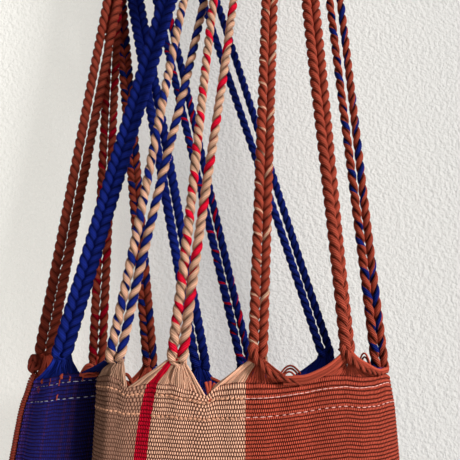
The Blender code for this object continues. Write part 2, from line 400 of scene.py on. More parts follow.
Plan = namedtuple("Plan", "s lip_x lip_y belly_x belly_y")  # mm, s along the cloth
PLAN = [Plan(*row) for row in (
    (0, -108, -1.4, -124, -1.4), (4, -104, -1.8, -120, -1.8), (14, -98, -8, -112, -9),
    (28, -87, -15, -97, -18), (46, -72, -15, -80, -19), (56, -62, -8, -71, -14),
    (62, -59, -15, -66, -18), (68, -61, -27, -63, -26), (76, -54, -34, -57, -31),
    (84, -48, -36, -50, -34), (120, -14, -37.5, -16, -38), (145, 10, -38, 9, -39),
    (170, 33, -37, 34, -38), (196, 58, -35, 60, -35), (222, 83, -30, 85, -29),
    (244, 103, -19, 107, -18), (256, 113, -9, 118, -9), (266, 117, 2, 123, 1),
    (278, 111, 12, 118, 11), (306, 82, 22, 93, 20), (334, 54, 27, 67, 26),
    (362, 26, 30, 40, 29), (395, -5, 31, 7, 31), (431, -40, 30, -29, 29),
    (468, -73, 25, -66, 24), (496, -95, 17, -94, 15), (512, -104, 9, -112, 8),
    (520, -104, 1.8, -120, 1.8), (524, -108, 1.4, -124, 1.4),
)]

Gather = namedtuple("Gather", "name yarn start end x y z turn")  # mm, and turn in degrees
GATHERS = [Gather(*row) for row in (
    ("front_blue", "blue", 0, 56, -87, -14, 1, 0),
    ("front_tan_blue", "tan", 56, 90, -50, -34, 0, 0),
    ("front_tan_red", "tan", 90, 137, -14, -36, 0, 0),
    ("front_rust_tan", "rust", 137, 190, 32, -36, 0, 10),
    ("front_rust", "rust", 190, 253, 85, -29, 2, 55),
    ("right_rust_blue", "rust", 253, 286, 112, 0, -4, 20),
    ("back_blue", "blue", 286, 334, 81, 21, -2, 0),
    ("back_blue_red", "blue", 334, 379, 26, 28, -8, 0),
    ("back_plain_blue", "blue", 379, 413, -5, 29, -10, 0),
    ("back_rust_blue", "rust", 413, 450, -40, 29, -9, 0),
    ("back_rust_red", "rust", 450, 486, -75, 23, -7, 0),
    ("left_rust", "rust", 486, 524, -106, 9, 1, 0),
)]
print(len(PLAN), "rows of the plan,", len(GATHERS), "gathers")


# %% Path of the cloth
def mix(a, b, f):
    """a where f is 0, b where it is 1."""
    return a + (b - a) * f


def cubic(a, slope_in, b, slope_out, f):
    """A smooth change from a at f 0 to b at f 1, with a slope at each end."""
    return (
        a * (1 + 2 * f) * (1 - f) ** 2
        + slope_in * f * (1 - f) ** 2
        + b * f * f * (3 - 2 * f)
        - slope_out * f * f * (1 - f)
    )


def plan_value(s, column):
    """A smooth value of one column of PLAN at s, by a cubic through the rows on each side."""
    last = len(PLAN) - 1
    i = max(k for k in range(last) if k == 0 or PLAN[k].s <= s)
    at = [max(0, i - 1), i, i + 1, min(last, i + 2)]
    p = [getattr(PLAN[k], column) for k in at]
    x = [PLAN[k].s for k in at]
    span = x[2] - x[1]
    slope_in = (p[2] - p[0]) / (x[2] - x[0]) * span
    slope_out = (p[3] - p[1]) / (x[3] - x[1]) * span
    return cubic(p[1], slope_in, p[2], slope_out, (s - x[1]) / span)


def through(lip, belly, bottom, t):
    """A value that is lip at t 0, belly at t 0.5 and bottom at t 1."""
    return lip * (1 - t) * (1 - 2 * t) + belly * 4 * t * (1 - t) + bottom * t * (2 * t - 1)


def lip_z(s):
    """Height of the plain woven edge, which follows the roots of the gathers nearest to s."""
    middles = [((g.start + g.end) / 2, g.z) for g in GATHERS]
    before = max((m for m in middles if m[0] <= s), default=middles[0])
    after = min((m for m in middles if m[0] > s), default=middles[-1])
    span = max(after[0] - before[0], 1)
    f = min(max((s - before[0]) / span, 0), 1)
    return ROOT_Z - LIP_DROP + mix(before[1], after[1], f) * MM


def pucker(s, down):
    """How far the cloth sinks in the troughs under a gather, which fade out below the woven edge."""
    gather = next(g for g in GATHERS if s <= g.end)
    across = (s - gather.start) / (gather.end - gather.start)
    return PUCKER_DEPTH * math.sin(TROUGHS * math.pi * across) ** 2 * math.exp(-down / PUCKER_LENGTH)


def cloth_point(s, t):
    """A point of the cloth: s in mm along it, and t from 0 at the woven edge to 1 at the bottom."""
    eased = t + 2 * t * (t - 0.5) * (1 - t)
    half = CLOTH_WIDTH / 2
    bottom_x = half / 2 - abs(s - half)
    bottom_y = BOTTOM_HALF_GAP * min(max((s - half) / (2 * BOTTOM_HALF_GAP), -1), 1)
    x = through(plan_value(s, "lip_x"), plan_value(s, "belly_x"), bottom_x, t)
    y = through(plan_value(s, "lip_y"), plan_value(s, "belly_y"), bottom_y, eased)
    z = lip_z(s) + (BOTTOM_Z - lip_z(s)) * t
    inward = -1 if y > 0 else 1
    y += inward * pucker(s, lip_z(s) - z) / MM
    return Vector((x * MM, y * MM, z))


print("right side half way down at x", round(cloth_point(CLOTH_WIDTH / 2, 0.5).x, 3))

# %% [markdown]
# ## The woven edge rises and dips
#
# The pull of the cords lifts the woven edge under some gathers and lets it dip between others. A
# table holds how far the edge stands above the plain one, in two parts. The far part reaches deep
# into the cloth and bends its rows of weave, and the near part fades within a few rows. One gather
# also draws its warp sideways, so that the red stripe leans, and the cloth bows out a little at
# the seam and at the right side. The rows of weave are wider in the hem than in the field.

# %% Rise of the woven edge
Rise = namedtuple("Rise", "s far near")  # mm
RISES = [Rise(*row) for row in (
    (0, 0, 0), (8, 0.6, 0), (14, 1.6, 0), (22, 3.6, -0.5), (30, 5.6, -0.5), (40, 7.5, -1.5),
    (50, 8.3, -2), (60, 7.8, -2), (66, 7, -1), (78, 5.5, 2.5), (84, 5, 1), (90, 4, -2.8),
    (98, 3.3, 0.7), (115, 2, 1), (130, 1, -1), (137, 0.6, -3.6), (143, 0.6, 2), (156, 0.5, 4),
    (166, 0.5, 3.5), (180, 0.8, 2.6), (194, 2.4, 2), (212, 4.4, 1.5), (230, 3.9, 1.5), (240, 4.8, 1.2),
    (253, 8.2, 0), (264, 8, -1.5), (286, 2, 0), (310, 4, 0), (334, 1.5, 0), (356, 4, 0),
    (379, 1.5, 0), (396, 4, 0), (413, 1.5, 0), (431, 4, 0), (450, 1.5, 0), (468, 4, 0),
    (486, 1.5, 0), (505, 3, 0), (524, 0, 0),
)]
FAR_LENGTH = 60 * MM  # depth in which the far part fades to about a third
NEAR_LENGTH = 7 * MM
LEANING = "front_tan_red"
LEAN = 0.3  # share of the way to its root that this gather draws the warp at the edge
LEAN_LENGTH = 19 * MM
LEAN_MARGIN = 8  # mm at both sides of the gather in which the lean begins
SEAM_BOW = 2.6 * MM
RIGHT_BOW = 1.9 * MM
BOW_REACH = (8, 40)  # mm along the cloth: full within the first, gone after the second more
BOW_DEPTHS = (20 * MM, 60 * MM, 90 * MM)  # where it is full, where it begins to fade, and over how much


def ease(f):
    """0 up to 0, 1 from 1 on, and an easy change between them."""
    f = min(max(f, 0), 1)
    return f * f * (3 - 2 * f)


def rise_at(s, down):
    """How far the cloth stands above its plain course, down metres below the edge."""
    after = next(k for k in range(1, len(RISES)) if s <= RISES[k].s)
    low, high = RISES[after - 1], RISES[after]
    f = ease((s - low.s) / (high.s - low.s))
    far, near = mix(low.far, high.far, f), mix(low.near, high.near, f)
    return (far * math.exp(-down / FAR_LENGTH) + near * math.exp(-down / NEAR_LENGTH)) * MM


def lean_at(s, x, down):
    """How far the leaning gather draws the warp sideways, toward its root."""
    gather = next(g for g in GATHERS if s <= g.end)
    lean = LEAN if gather.name == LEANING else 0
    inside = ease(min(s - gather.start, gather.end - s) / LEAN_MARGIN)
    return (gather.x * MM - x) * lean * inside * math.exp(-down / LEAN_LENGTH)


def bow_at(s, down):
    """How far the cloth bows out to the right, or to the left when negative, below its edge."""
    full, fade = BOW_REACH
    left = 1 - ease((min(s, CLOTH_WIDTH - s) - full) / fade)
    right = 1 - ease((abs(s - CLOTH_WIDTH / 2) - full) / fade)
    deep, below, over = BOW_DEPTHS
    fading = ease(down / deep) * (1 - ease((down - below) / over))
    return (RIGHT_BOW * right - SEAM_BOW * left) * fading


def woven_point(s, down):
    """A point of the cloth's middle, down metres below its risen edge."""
    height = lip_z(s) - BOTTOM_Z
    point = cloth_point(s, min(down / height, 1))
    point.x += lean_at(s, point.x, down) + bow_at(s, down)
    point.z += rise_at(s, down) * (1 - down / height)
    return point


print("the edge under the first gather is", round(rise_at(28, 0) / MM, 1), "mm above the plain one")

# %% Rows of the weave
HEM_HEIGHT = 11 * MM
HEM_ROWS = 5
ROW_PITCH = 1.97 * MM  # below the hem


def row_at(down):
    """The number of rows of weave between the edge and a depth."""
    if down < HEM_HEIGHT:
        return HEM_ROWS * down / HEM_HEIGHT
    return HEM_ROWS + (down - HEM_HEIGHT) / ROW_PITCH


def down_of(row):
    """The depth at which a row of weave starts."""
    if row < HEM_ROWS:
        return HEM_HEIGHT * row / HEM_ROWS
    return HEM_HEIGHT + (row - HEM_ROWS) * ROW_PITCH


def outward_at(s, down):
    """The direction that faces out of the bag."""
    step = 1.5  # mm
    s = min(max(s, step), CLOTH_WIDTH - step)
    along = woven_point(s + step, down) - woven_point(s - step, down)
    below = woven_point(s, down + step * MM) - woven_point(s, down)
    return below.cross(along).normalized()


print("rows of weave down to 60 mm:", round(row_at(60 * MM), 1))

# %% [markdown]
# ## The cloth itself
#
# A grid is laid on that path: its rows are close together near the mouth, where the ribs of the
# weave are real waves, and wide apart below. Its UV map is the lay of the threads: U is metres
# along the cloth, which picks the stripe, and V counts rows of weave. Solidify gives it its
# thickness. A cloth simulation would find folds of its own. Here the folds are known, so the sheet
# follows the tables.

# %% Woven cloth
RIBBED_ROWS = 32
STEPS_PER_ROW = 4
FINE_DEPTH = down_of(RIBBED_ROWS)
COARSE_ROWS = 44
CLOTH_COLUMNS = 240
RIB_HEIGHT = 0.42 * MM
HEM_RIB_HEIGHT = 0.75 * MM
HEM_CHANGE = 0.6  # of the hem's height, from which on its ribs get lower
FLATTER = 0.8  # of the ribbed depth, from which on the ribs fade out
WOVEN_THICKNESS = 1.1 * MM


def rib(down):
    """How far the cloth's face stands out on a row of weave."""
    place = row_at(down) % 1
    below_hem = ease((down - HEM_CHANGE * HEM_HEIGHT) / HEM_HEIGHT)
    height = mix(HEM_RIB_HEIGHT, RIB_HEIGHT, below_hem)
    kept = 1 - ease((down - FLATTER * FINE_DEPTH) / ((1 - FLATTER) * FINE_DEPTH))
    return height * (1 - (2 * place - 1) ** 2) * kept


def weave_cloth():
    """The sheet as a grid, one column after another from the left seam and back to it."""
    length = LIP_DROP + ROOT_Z - BOTTOM_Z
    downs = [down_of(k / STEPS_PER_ROW) for k in range(RIBBED_ROWS * STEPS_PER_ROW)]
    columns = [CLOTH_WIDTH * k / CLOTH_COLUMNS for k in range(CLOTH_COLUMNS + 1)]
    points, lays = [], []
    for s in columns:
        full = lip_z(s) - BOTTOM_Z
        rest = [FINE_DEPTH + (full - FINE_DEPTH) * k / COARSE_ROWS for k in range(COARSE_ROWS + 1)]
        for down in downs + rest:
            lift = rib(down) if down < FINE_DEPTH else 0
            point = woven_point(s, down)
            if lift:
                point += outward_at(s, down) * lift
            points.append(point)
            lays.append((s * MM, row_at(down)))
    tall = len(downs) + COARSE_ROWS + 1
    faces = [
        (i * tall + j, i * tall + j + 1, (i + 1) * tall + j + 1, (i + 1) * tall + j)
        for i in range(CLOTH_COLUMNS)
        for j in range(tall - 1)
    ]
    mesh = bpy.data.meshes.new("woven_cloth")
    mesh.from_pydata(points, [], faces)
    uv = mesh.uv_layers.new(name="lay")
    for loop in mesh.loops:
        uv.data[loop.index].uv = lays[loop.vertex_index]
    mesh.shade_smooth()
    cloth = bpy.data.objects.new("woven_cloth", mesh)
    bpy.context.scene.collection.objects.link(cloth)
    solidify = cloth.modifiers.new("thickness", "SOLIDIFY")
    solidify.thickness = WOVEN_THICKNESS
    solidify.offset = 0
    print("cloth", len(mesh.polygons), "faces, plain length", round(length, 3))
    return cloth


woven_cloth = weave_cloth()

# %% [markdown]
# ## The weave's finish
#
# Each rib is a row of warp floats, which look like beads. The finish counts rows and floats from
# the UV map, rounds each float with a height, and lets the weft show in the gaps: brown between tan
# floats, purple between blue ones, where it also shows as short dashes in some streaks, and dark
# rust elsewhere. The floats get a painted highlight and the gaps painted shade. Chance in each
# float's lightness, taken from its own number, keeps it from looking printed. Painted shade darkens
# the folds that the light hardly reaches, and painted light brightens the blue by the seam and the
# tan right of the red stripe. A picture of a weave would be quicker, but it couldn't follow the lay
# of these threads.

# %% Helpers of the finishes
COTTON_ROUGHNESS = 0.88
COTTON_SHINE = 0.08


def is_between(s, first, last):
    """1 where s is in a stretch of the cloth given in mm."""
    return (s > first * MM) * (s < last * MM)


def stripes_of(s, yarn):
    """1 in all the cloth's stripes of one yarn."""
    ends = [stripe.start for stripe in STRIPES[1:]] + [CLOTH_WIDTH]
    spans = [(stripe.start or -1, end) for stripe, end in zip(STRIPES, ends) if stripe.yarn == yarn]
    shares = [is_between(s, *span) for span in spans]
    return sum(shares[1:], shares[0])


def stripe_colour(bench, s):
    """The dyed colour of the warp, s metres along the cloth."""
    colour = COTTON[STRIPES[0].yarn]
    for stripe in STRIPES[1:]:
        colour = bench.blend(s > stripe.start * MM, colour, COTTON[stripe.yarn])
    return colour


def cotton(name):
    """A new material with a soft cotton surface, its bench and its shader node."""
    made = bpy.data.materials.new(name)
    made.use_nodes = True
    shader = made.node_tree.nodes["Principled BSDF"]
    shader.inputs["Roughness"].default_value = COTTON_ROUGHNESS
    shader.inputs["Specular IOR Level"].default_value = COTTON_SHINE
    return made, Bench(made.node_tree), shader


def plug(bench, shader, name, wire):
    """Join a wire to a socket of the shader."""
    bench.tree.links.new(wire.socket, shader.inputs[name])


print("cotton of roughness", COTTON_ROUGHNESS)

# %% Finish of the woven cloth
TAN_PITCH = 1.42 * MM  # breadth of a float in the broad tan stripe
FINE_PITCH = 1.14 * MM  # and in the others
TAN_PART = (62, 161)  # mm along the cloth, with the red stripe in it
SMOOTH_TAN = (62, 96)  # its left stripe, packed close in the fold
BROAD_TAN = (104, 161)
ROW_SWAY = 0.34  # of a row's height, by which the rows wander
FLOAT_SWAY = 0.8  # of a float's breadth
FLOAT_SHIFT = 0.5  # of a float's breadth, from one row to the next
WEAVE_RELIEF = 0.7 * MM
STREAK_SCALE = 190
STREAK_LEVEL = 0.58  # of the noise, from which on a streak has dashes
DASH_BREADTH = 0.6  # of a float's

# How much a float falls off to its sides, more so in the broad tan stripe, and to its ends, less
# so in all the tan ones and in the smooth one
SIDES_FALL, BROAD_MORE = 0.82, 0.12
ENDS_FALL, TAN_LESS, SMOOTH_LESS = 0.95, 0.12, 0.3

# How much of the weft shows: in the gaps, less of it between blue, red and smooth tan floats, a
# little all over the smooth tan, and in the dashes
GAPS_SHOW, BLUE_HIDES, RED_HIDES, SMOOTH_HIDES = 0.9, 0.3, 0.55, 0.4
SMOOTH_SHOWS, DASHES_SHOW = 0.28, 0.4

# How light the cloth is: at least, which is painted shade in the gaps, more on the floats, which
# is a painted highlight, and by chance. The smooth tan has less of the second and more of the first,
# and all tan is a little duller.
LEAST_LIGHT, FLOAT_LIGHT, CHANCE_LIGHT = 0.34, 1.18, 0.24
SMOOTH_FLOAT, SMOOTH_LEAST, TAN_DULL = 0.65, 0.34, 0.09


def fold_shade(s):
    """Painted light and shade of the folds: least light in the deep one between the blue and the tan,
    painted light by the seam, and painted shade on the rust at the right.
    """
    fold = TAN_PART[0]
    blue_side = 0.4 + (1 - ((s - 8 * MM) * 22).held()) ** 1.6 * 1.25  # from the seam into the fold
    tan_side = 0.5 + ((s - 66 * MM) * 12).held() * 0.5 + (s > 96 * MM) * 0.18  # and out of it
    # Painted shade on the front's rust stripe, toward the right side
    right_side = ((s - 190 * MM) * 40).held() * is_between(s, 185, 262) * 0.14
    return is_between(s, -1, fold) * blue_side + (s > fold * MM) * tan_side.held() - right_side


def woven_finish():
    """Warp floats in rows, with the weft between them."""
    made, bench, shader = cotton("woven_cotton")
    s, row = bench.lay()
    sway = bench.cloud(bench.place(), 130, 1)
    row = row + (sway - 0.5) * ROW_SWAY
    row_number = row.floor()
    tan, broad, smooth = (is_between(s, *part) for part in (TAN_PART, BROAD_TAN, SMOOTH_TAN))
    red, blue = stripes_of(s, "red"), stripes_of(s, "blue")
    threads = s * (1 / FINE_PITCH) + broad * s * (1 / TAN_PITCH - 1 / FINE_PITCH)
    count = threads + row_number * FLOAT_SHIFT + sway * FLOAT_SWAY
    across = (count.part() * 2 - 1).size()
    along = (row.part() * 2 - 1).size()
    chance = bench.draw(count.floor(), row_number)
    rounded = 1 - across**2 * (SIDES_FALL + broad * BROAD_MORE)
    height = rounded * (1 - along**2 * (ENDS_FALL - tan * TAN_LESS - smooth * SMOOTH_LESS))
    body = (height * 1.25 - 0.2).held()  # 0 in the gaps and 1 on the floats
    sockets = {"W": s, "Scale": STREAK_SCALE, "Detail": 1}
    streak = bench.add("ShaderNodeTexNoise", {"noise_dimensions": "1D"}, sockets)
    strong = 0.5 + (row_number * 0.5).part()  # full in every other row
    dash = (streak > STREAK_LEVEL) * (across < DASH_BREADTH) * strong
    gaps = (1 - body) * (GAPS_SHOW - blue * BLUE_HIDES - red * RED_HIDES - smooth * SMOOTH_HIDES)
    peeks = gaps + smooth * SMOOTH_SHOWS + blue * dash * DASHES_SHOW
    # Weft colours with painted shade in them
    weft = bench.blend(tan * (1 - red), SHADED_WEFT_RUST, SHADED_WEFT_BROWN)
    weft = bench.blend(blue, weft, SHADED_WEFT_PURPLE)
    weave_with_shaded_weft = bench.blend(peeks, stripe_colour(bench, s), weft)
    # Painted highlight on the floats and painted shade in the gaps
    tone = LEAST_LIGHT + body * (FLOAT_LIGHT - smooth * SMOOTH_FLOAT) + smooth * SMOOTH_LEAST
    tone = tone + chance * CHANCE_LIGHT
    # Painted light and shade of the folds
    colour = bench.shade(weave_with_shaded_weft, tone * (1 - tan * TAN_DULL) * fold_shade(s))
    plug(bench, shader, "Base Color", colour)
    plug(bench, shader, "Normal", bench.bump(height + chance * 0.15, 1.0, WEAVE_RELIEF))
    return made


woven_cloth.data.materials.append(woven_finish())
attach(woven_cloth, "root")
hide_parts("body_cloth")
print("woven_cloth", len(woven_cloth.data.materials), "finish")

# %% [markdown]
# ## Two shapes that most of the rest is made of
#
# A yarn is a round tube along a path. A cord is one or more strands that turn round a path. Both
# are Geometry Nodes trees. Their path is a mesh of edges whose points carry attributes: how far
# along they are, how thick the yarn is there, and a number that its finish can use. The mesh
# becomes a curve, the curve a tube, and the tube gets a UV map that runs along and around it. These
# first nodes are the same in both trees.


# %% Nodes shared by both shapes
def reading(bench, name, kind="FLOAT"):
    """An attribute of the path."""
    return bench.add("GeometryNodeInputNamedAttribute", {"data_type": kind}, {"Name": name})


def writing(bench, geometry, name, value, kind="FLOAT", domain="POINT"):
    """The same geometry with one more attribute."""
    settings = {"data_type": kind, "domain": domain}
    sockets = {"Geometry": geometry, "Name": name, "Value": value}
    return bench.add("GeometryNodeStoreNamedAttribute", settings, sockets)


def round_skin(bench, curve, radius, sides, u, v_start, material, flat=1.0):
    """A tube round a curve, with u along it and v_start plus the turn round it as its UV map."""
    profile = bench.add("GeometryNodeCurvePrimitiveCircle", None, {"Resolution": sides, "Radius": 1.0})
    profile = bench.add("GeometryNodeTransform", None, {"Geometry": profile, "Scale": (flat, 1.0, 1.0)})
    turn = bench.add("GeometryNodeSplineParameter")
    profile = writing(bench, profile, "turn", turn)
    curve = writing(bench, curve, "u", u)
    curve = writing(bench, curve, "v_start", v_start)
    sockets = {"Curve": curve, "Profile Curve": profile, "Scale": radius, "Fill Caps": True}
    skin = bench.add("GeometryNodeCurveToMesh", None, sockets)
    turn = reading(bench, "turn")
    settings = {"domain": "FACE", "data_type": "FLOAT"}
    over_face = bench.add("GeometryNodeFieldOnDomain", settings, {"Value": turn})
    closed = turn + ((over_face - turn) > 0.3)  # the last face ends at a whole turn, not back at 0
    across = reading(bench, "v_start") + closed
    lay = bench.add("ShaderNodeCombineXYZ", None, {0: reading(bench, "u"), 1: across})
    skin = writing(bench, skin, "lay", lay, "FLOAT2", "CORNER")
    skin = bench.add("GeometryNodeSetShadeSmooth", None, {"Geometry": skin})
    skin = bench.add("GeometryNodeRealizeInstances", None, {"Geometry": skin})
    return bench.add("GeometryNodeSetMaterial", None, {"Geometry": skin, "Material": material})


def new_shape(name, inputs):
    """An empty Geometry Nodes tree with named inputs, its bench, and a wire for each input."""
    tree = bpy.data.node_groups.new(name, "GeometryNodeTree")
    tree.interface.new_socket("Geometry", in_out="INPUT", socket_type="NodeSocketGeometry")
    for label, kind in inputs:
        tree.interface.new_socket(label, in_out="INPUT", socket_type="NodeSocket" + kind)
    tree.interface.new_socket("Geometry", in_out="OUTPUT", socket_type="NodeSocketGeometry")
    bench = Bench(tree)
    outputs = bench.add("NodeGroupInput").socket.node.outputs
    return bench, {socket.name: Wire(bench, socket) for socket in outputs if socket.name}


def hand_out(bench, geometry):
    """Close the tree with its result."""
    bench.add("NodeGroupOutput", None, {0: geometry})
    return bench.tree


print("shared: attributes in and out, a round skin, a new tree and its end")

# %% [markdown]
# ## Tree of a yarn
#
# The plainest use of those nodes: a path becomes a curve and gets a round skin. Beveling a curve
# object would do for one yarn, but not give each of hundreds its own number and thickness.

# %% Tree of a yarn
def yarn_shape():
    """A tube along each path, as thick as the path says."""
    bench, given = new_shape("yarn along a path", (("Sides", "Int"), ("Material", "Material")))
    curve = bench.add("GeometryNodeMeshToCurve", None, {"Mesh": given["Geometry"]})
    radius, u, v_start = (reading(bench, name) for name in ("thick", "stripe", "mark"))
    skin = round_skin(bench, curve, radius, given["Sides"], u, v_start, given["Material"])
    return hand_out(bench, skin)


YARN_SHAPE = yarn_shape()
print("yarn tree:", len(YARN_SHAPE.nodes), "nodes")

# %% [markdown]
# ## Tree of a twisted cord
#
# A path is doubled once for each strand, and each copy is pushed off to the side by the lay radius,
# in a direction that turns as the path goes on. The turn is an attribute of the path, so a cord can
# be laid tight in one place and slack in another. A strand is a little flat, as it is pressed
# against the others.

# %% Tree of a twisted cord
STRAND_FLATNESS = 0.8  # of a strand's height over the cord's middle to its width round it


def cord_shape():
    """Strands that turn round a path. The path's points carry two directions across it."""
    sizes = [(label, "Float") for label in ("Strand radius", "Lay radius", "Step")]
    inputs = [("Strands", "Int"), *sizes, ("Sides", "Int"), ("Material", "Material")]
    bench, given = new_shape("strands round a path", inputs)
    curve = bench.add("GeometryNodeMeshToCurve", None, {"Mesh": given["Geometry"]})
    sockets = {"Curve": curve, "Length": given["Step"]}
    curve = bench.add("GeometryNodeResampleCurve", {"mode": "LENGTH"}, sockets)
    sockets = {"Geometry": curve, "Amount": given["Strands"]}
    curve = bench.add("GeometryNodeDuplicateElements", {"domain": "SPLINE"}, sockets)
    strand = curve.other("Duplicate Index")
    curve = writing(bench, curve, "strand", strand)
    strand = reading(bench, "strand")
    angle = reading(bench, "angle") + strand / given["Strands"] * math.tau
    scale = reading(bench, "thick")
    right = bench.scale(reading(bench, "right", "FLOAT_VECTOR"), angle.cosine())
    ahead = bench.scale(reading(bench, "ahead", "FLOAT_VECTOR"), angle.sine())
    curve = writing(bench, curve, "out", bench.vector("ADD", right, ahead), "FLOAT_VECTOR")
    out = reading(bench, "out", "FLOAT_VECTOR")
    sockets = {"Geometry": curve, "Offset": bench.scale(out, given["Lay radius"] * scale)}
    curve = bench.add("GeometryNodeSetPosition", None, sockets)
    curve = bench.add("GeometryNodeSetCurveNormal", {"mode": "FREE"}, {"Curve": curve, "Normal": out})
    radius = given["Strand radius"] * scale
    sides, u, material = given["Sides"], reading(bench, "along"), given["Material"]
    skin = round_skin(bench, curve, radius, sides, u, strand, material, STRAND_FLATNESS)
    return hand_out(bench, skin)


CORD_SHAPE = cord_shape()
print("cord tree:", len(CORD_SHAPE.nodes), "nodes")

# %% [markdown]
# ## Paths in, plain meshes out
#
# A tree runs as a modifier on a mesh of paths. Its result is then kept as a plain mesh, because the
# bag is to be used without the trees, and what only the tree needed is taken off again.

# %% Paths in, plain meshes out
# Attributes that only the trees need
WORKING = "turn out u v_start thick stripe mark strand angle right ahead along".split()


def path_mesh(name, paths, attributes):
    """A mesh of edges. A path is a dict with its points and one value a point for each attribute."""
    points = [point for path in paths for point in path["points"]]
    edges, start = [], 0
    for path in paths:
        count = len(path["points"])
        edges += [(start + k, start + k + 1) for k in range(count - 1)]
        start += count
    mesh = bpy.data.meshes.new(name)
    mesh.from_pydata(points, edges, [])
    for label, kind in attributes.items():
        values = [value for path in paths for value in path[label]]
        layer = mesh.attributes.new(label, kind, "POINT")
        key = "vector" if kind == "FLOAT_VECTOR" else "value"
        layer.data.foreach_set(key, np.array(values, dtype=np.float32).ravel())
    return mesh


def make_plain(obj, tree, inputs):
    """Run a Geometry Nodes tree on an object and keep its result as the object's own mesh."""
    modifier = obj.modifiers.new("shape", "NODES")
    modifier.node_group = tree
    for item in tree.interface.items_tree:
        if item.in_out == "INPUT" and item.name in inputs:
            modifier[item.identifier] = inputs[item.name]
    depsgraph = bpy.context.evaluated_depsgraph_get()
    mesh = bpy.data.meshes.new_from_object(
        obj.evaluated_get(depsgraph), preserve_all_data_layers=True, depsgraph=depsgraph
    )
    old = obj.data
    obj.modifiers.clear()
    obj.data = mesh
    bpy.data.meshes.remove(old)
    mesh.name = obj.name
    for label in [a.name for a in mesh.attributes if a.name in WORKING]:
        mesh.attributes.remove(mesh.attributes[label])


print(len(WORKING), "working attributes")


# %% Yarns and smooth paths
def place_object(name, mesh):
    """A new object at the origin."""
    obj = bpy.data.objects.new(name, mesh)
    bpy.context.scene.collection.objects.link(obj)
    return obj


def spin_yarns(name, yarns, material, sides):
    """Many yarns as one piece."""
    kinds = {"thick": "FLOAT", "stripe": "FLOAT", "mark": "FLOAT"}
    piece = place_object(name, path_mesh(name, yarns, kinds))
    make_plain(piece, YARN_SHAPE, {"Sides": sides, "Material": material})
    print(name, len(yarns), "yarns", len(piece.data.polygons), "faces")
    return piece


def yarn(points, thick, mark, stripe=0.0):
    """A path for the yarn tree. stripe is where in the cloth it grows, and mark its own number."""
    plain = {"thick": thick, "stripe": stripe, "mark": mark}
    return {"points": points, **{label: [value] * len(points) for label, value in plain.items()}}


def smooth_path(points, steps):
    """A finer path through the points, rounded by a cubic between each pair."""
    fine = []
    last = len(points) - 1
    for i in range(last):
        before, a, b, after = (points[min(max(k, 0), last)] for k in (i - 1, i, i + 1, i + 2))
        slopes = (b - before) / 2, (after - a) / 2
        fine += [cubic(a, slopes[0], b, slopes[1], k / steps) for k in range(steps)]
    return fine + [points[last]]


corner = [Vector(), Vector((0, 0, 1)), Vector((0, 1, 1))]
print("3 points give a smooth path of", len(smooth_path(corner, 4)))

# %% [markdown]
# ## Routes of the cords
#
# Each pair runs straight up from its gather, bends half way and ends in its collar. Its two cords
# touch at the root and part on the way. The table holds the middle of each pair half way up, how
# far it is turned and spread there, and the slot of the collar in which it ends: two columns and
# three rows in each of the two collars. The front cords go to the collar on the right, and the back
# ones to that on the left. A curve could be drawn for each of the 24 cords, but from one table the
# two cords of a pair stay together.

# %% Table of the routes
COLLAR_LOW_Z = ROOT_Z + 487 * MM
COLLAR_X = 64 * MM
COLLAR_Y = {1: -6 * MM, -1: 12 * MM}  # of the right collar and the left one
SLOT_PITCH = 6.4 * MM
TOUCH_GAP = 0.3 * MM  # between a cord's end and its collar
CORD_DIAMETER = 5.6 * MM
FAT_CORD_DIAMETER = 6.8 * MM
FAT_PAIR = "front_blue"
PAIR_GAP = 0.5 * MM
CORD_LIFT = 0.8 * MM  # of a cord's end over its gather's root
CORD_END_STRAIGHT = 3 * MM
LOWER_SEGMENTS = 5  # points of a route up to half way
UPPER_SEGMENTS = 7
KEPT_CLOSED = 0.12  # share of the lower half in which a pair doesn't part yet
ROOT_SQUEEZE = 0.85  # of the pair's width, at the very root
COLLAR_EASE = 0.6

Route = namedtuple("Route", "x y z turn spread collar column row")  # mm, and turn in degrees
ROUTES = [Route(*row) for row in (
    (-27, -13.8, 240, -2, 7.5, 1, -1, 1),
    (-8, -25.6, 231, 16, 13.3, 1, -1, 0),
    (12, -29, 231, 10, 13, 1, -1, -1),
    (42, -31.5, 231, 25, 6.2, 1, 1, -1),
    (70, -23, 232, 22, 6.8, 1, 1, 0),
    (90, -7, 244, 20, 8.8, 1, 1, 1),
    (0, 17, 262, 0, 10.5, -1, 1, -1),
    (-37, 21.3, 264, 8, 7.4, -1, 1, 0),
    (-57, 24.2, 266, 44, 7.2, -1, 1, 1),
    (-70, 30, 264, 16, 6.2, -1, -1, 1),
    (-71.4, 16.7, 262, -9, 6.5, -1, -1, 0),
    (-71, 9, 255, 0, 6.9, -1, -1, -1),
)]

# mm by which the two cords of a pair sink into each other, or the gap between them when negative
NESTING = -0.1
OWN_NESTING = {
    "front_blue": 1.0,
    "front_rust_tan": 0.5,
    "right_rust_blue": -0.3,
    "back_plain_blue": -0.9,
    "back_rust_blue": 1.2,
    "left_rust": -0.8,
}
SINK = {"right_rust_blue": 5 * MM}  # of a root that starts inside its gather
print(len(ROUTES), "routes up to z", round(COLLAR_LOW_Z, 3))


# %% Routes of the cords
def middle_of(pair):
    """The point of a gather or a route, in metres."""
    return Vector((pair.x * MM, pair.y * MM, ROOT_Z + pair.z * MM))


def pair_point(centre, width, turn, side):
    """Where one cord of a pair is, beside the middle of the pair. side is -1 or 1."""
    turn = math.radians(turn)
    return centre + Vector((math.cos(turn), math.sin(turn), 0)) * width / 2 * side


def cord_diameter(gather):
    """How thick the cords of a gather are at the root."""
    return FAT_CORD_DIAMETER if gather.name == FAT_PAIR else CORD_DIAMETER


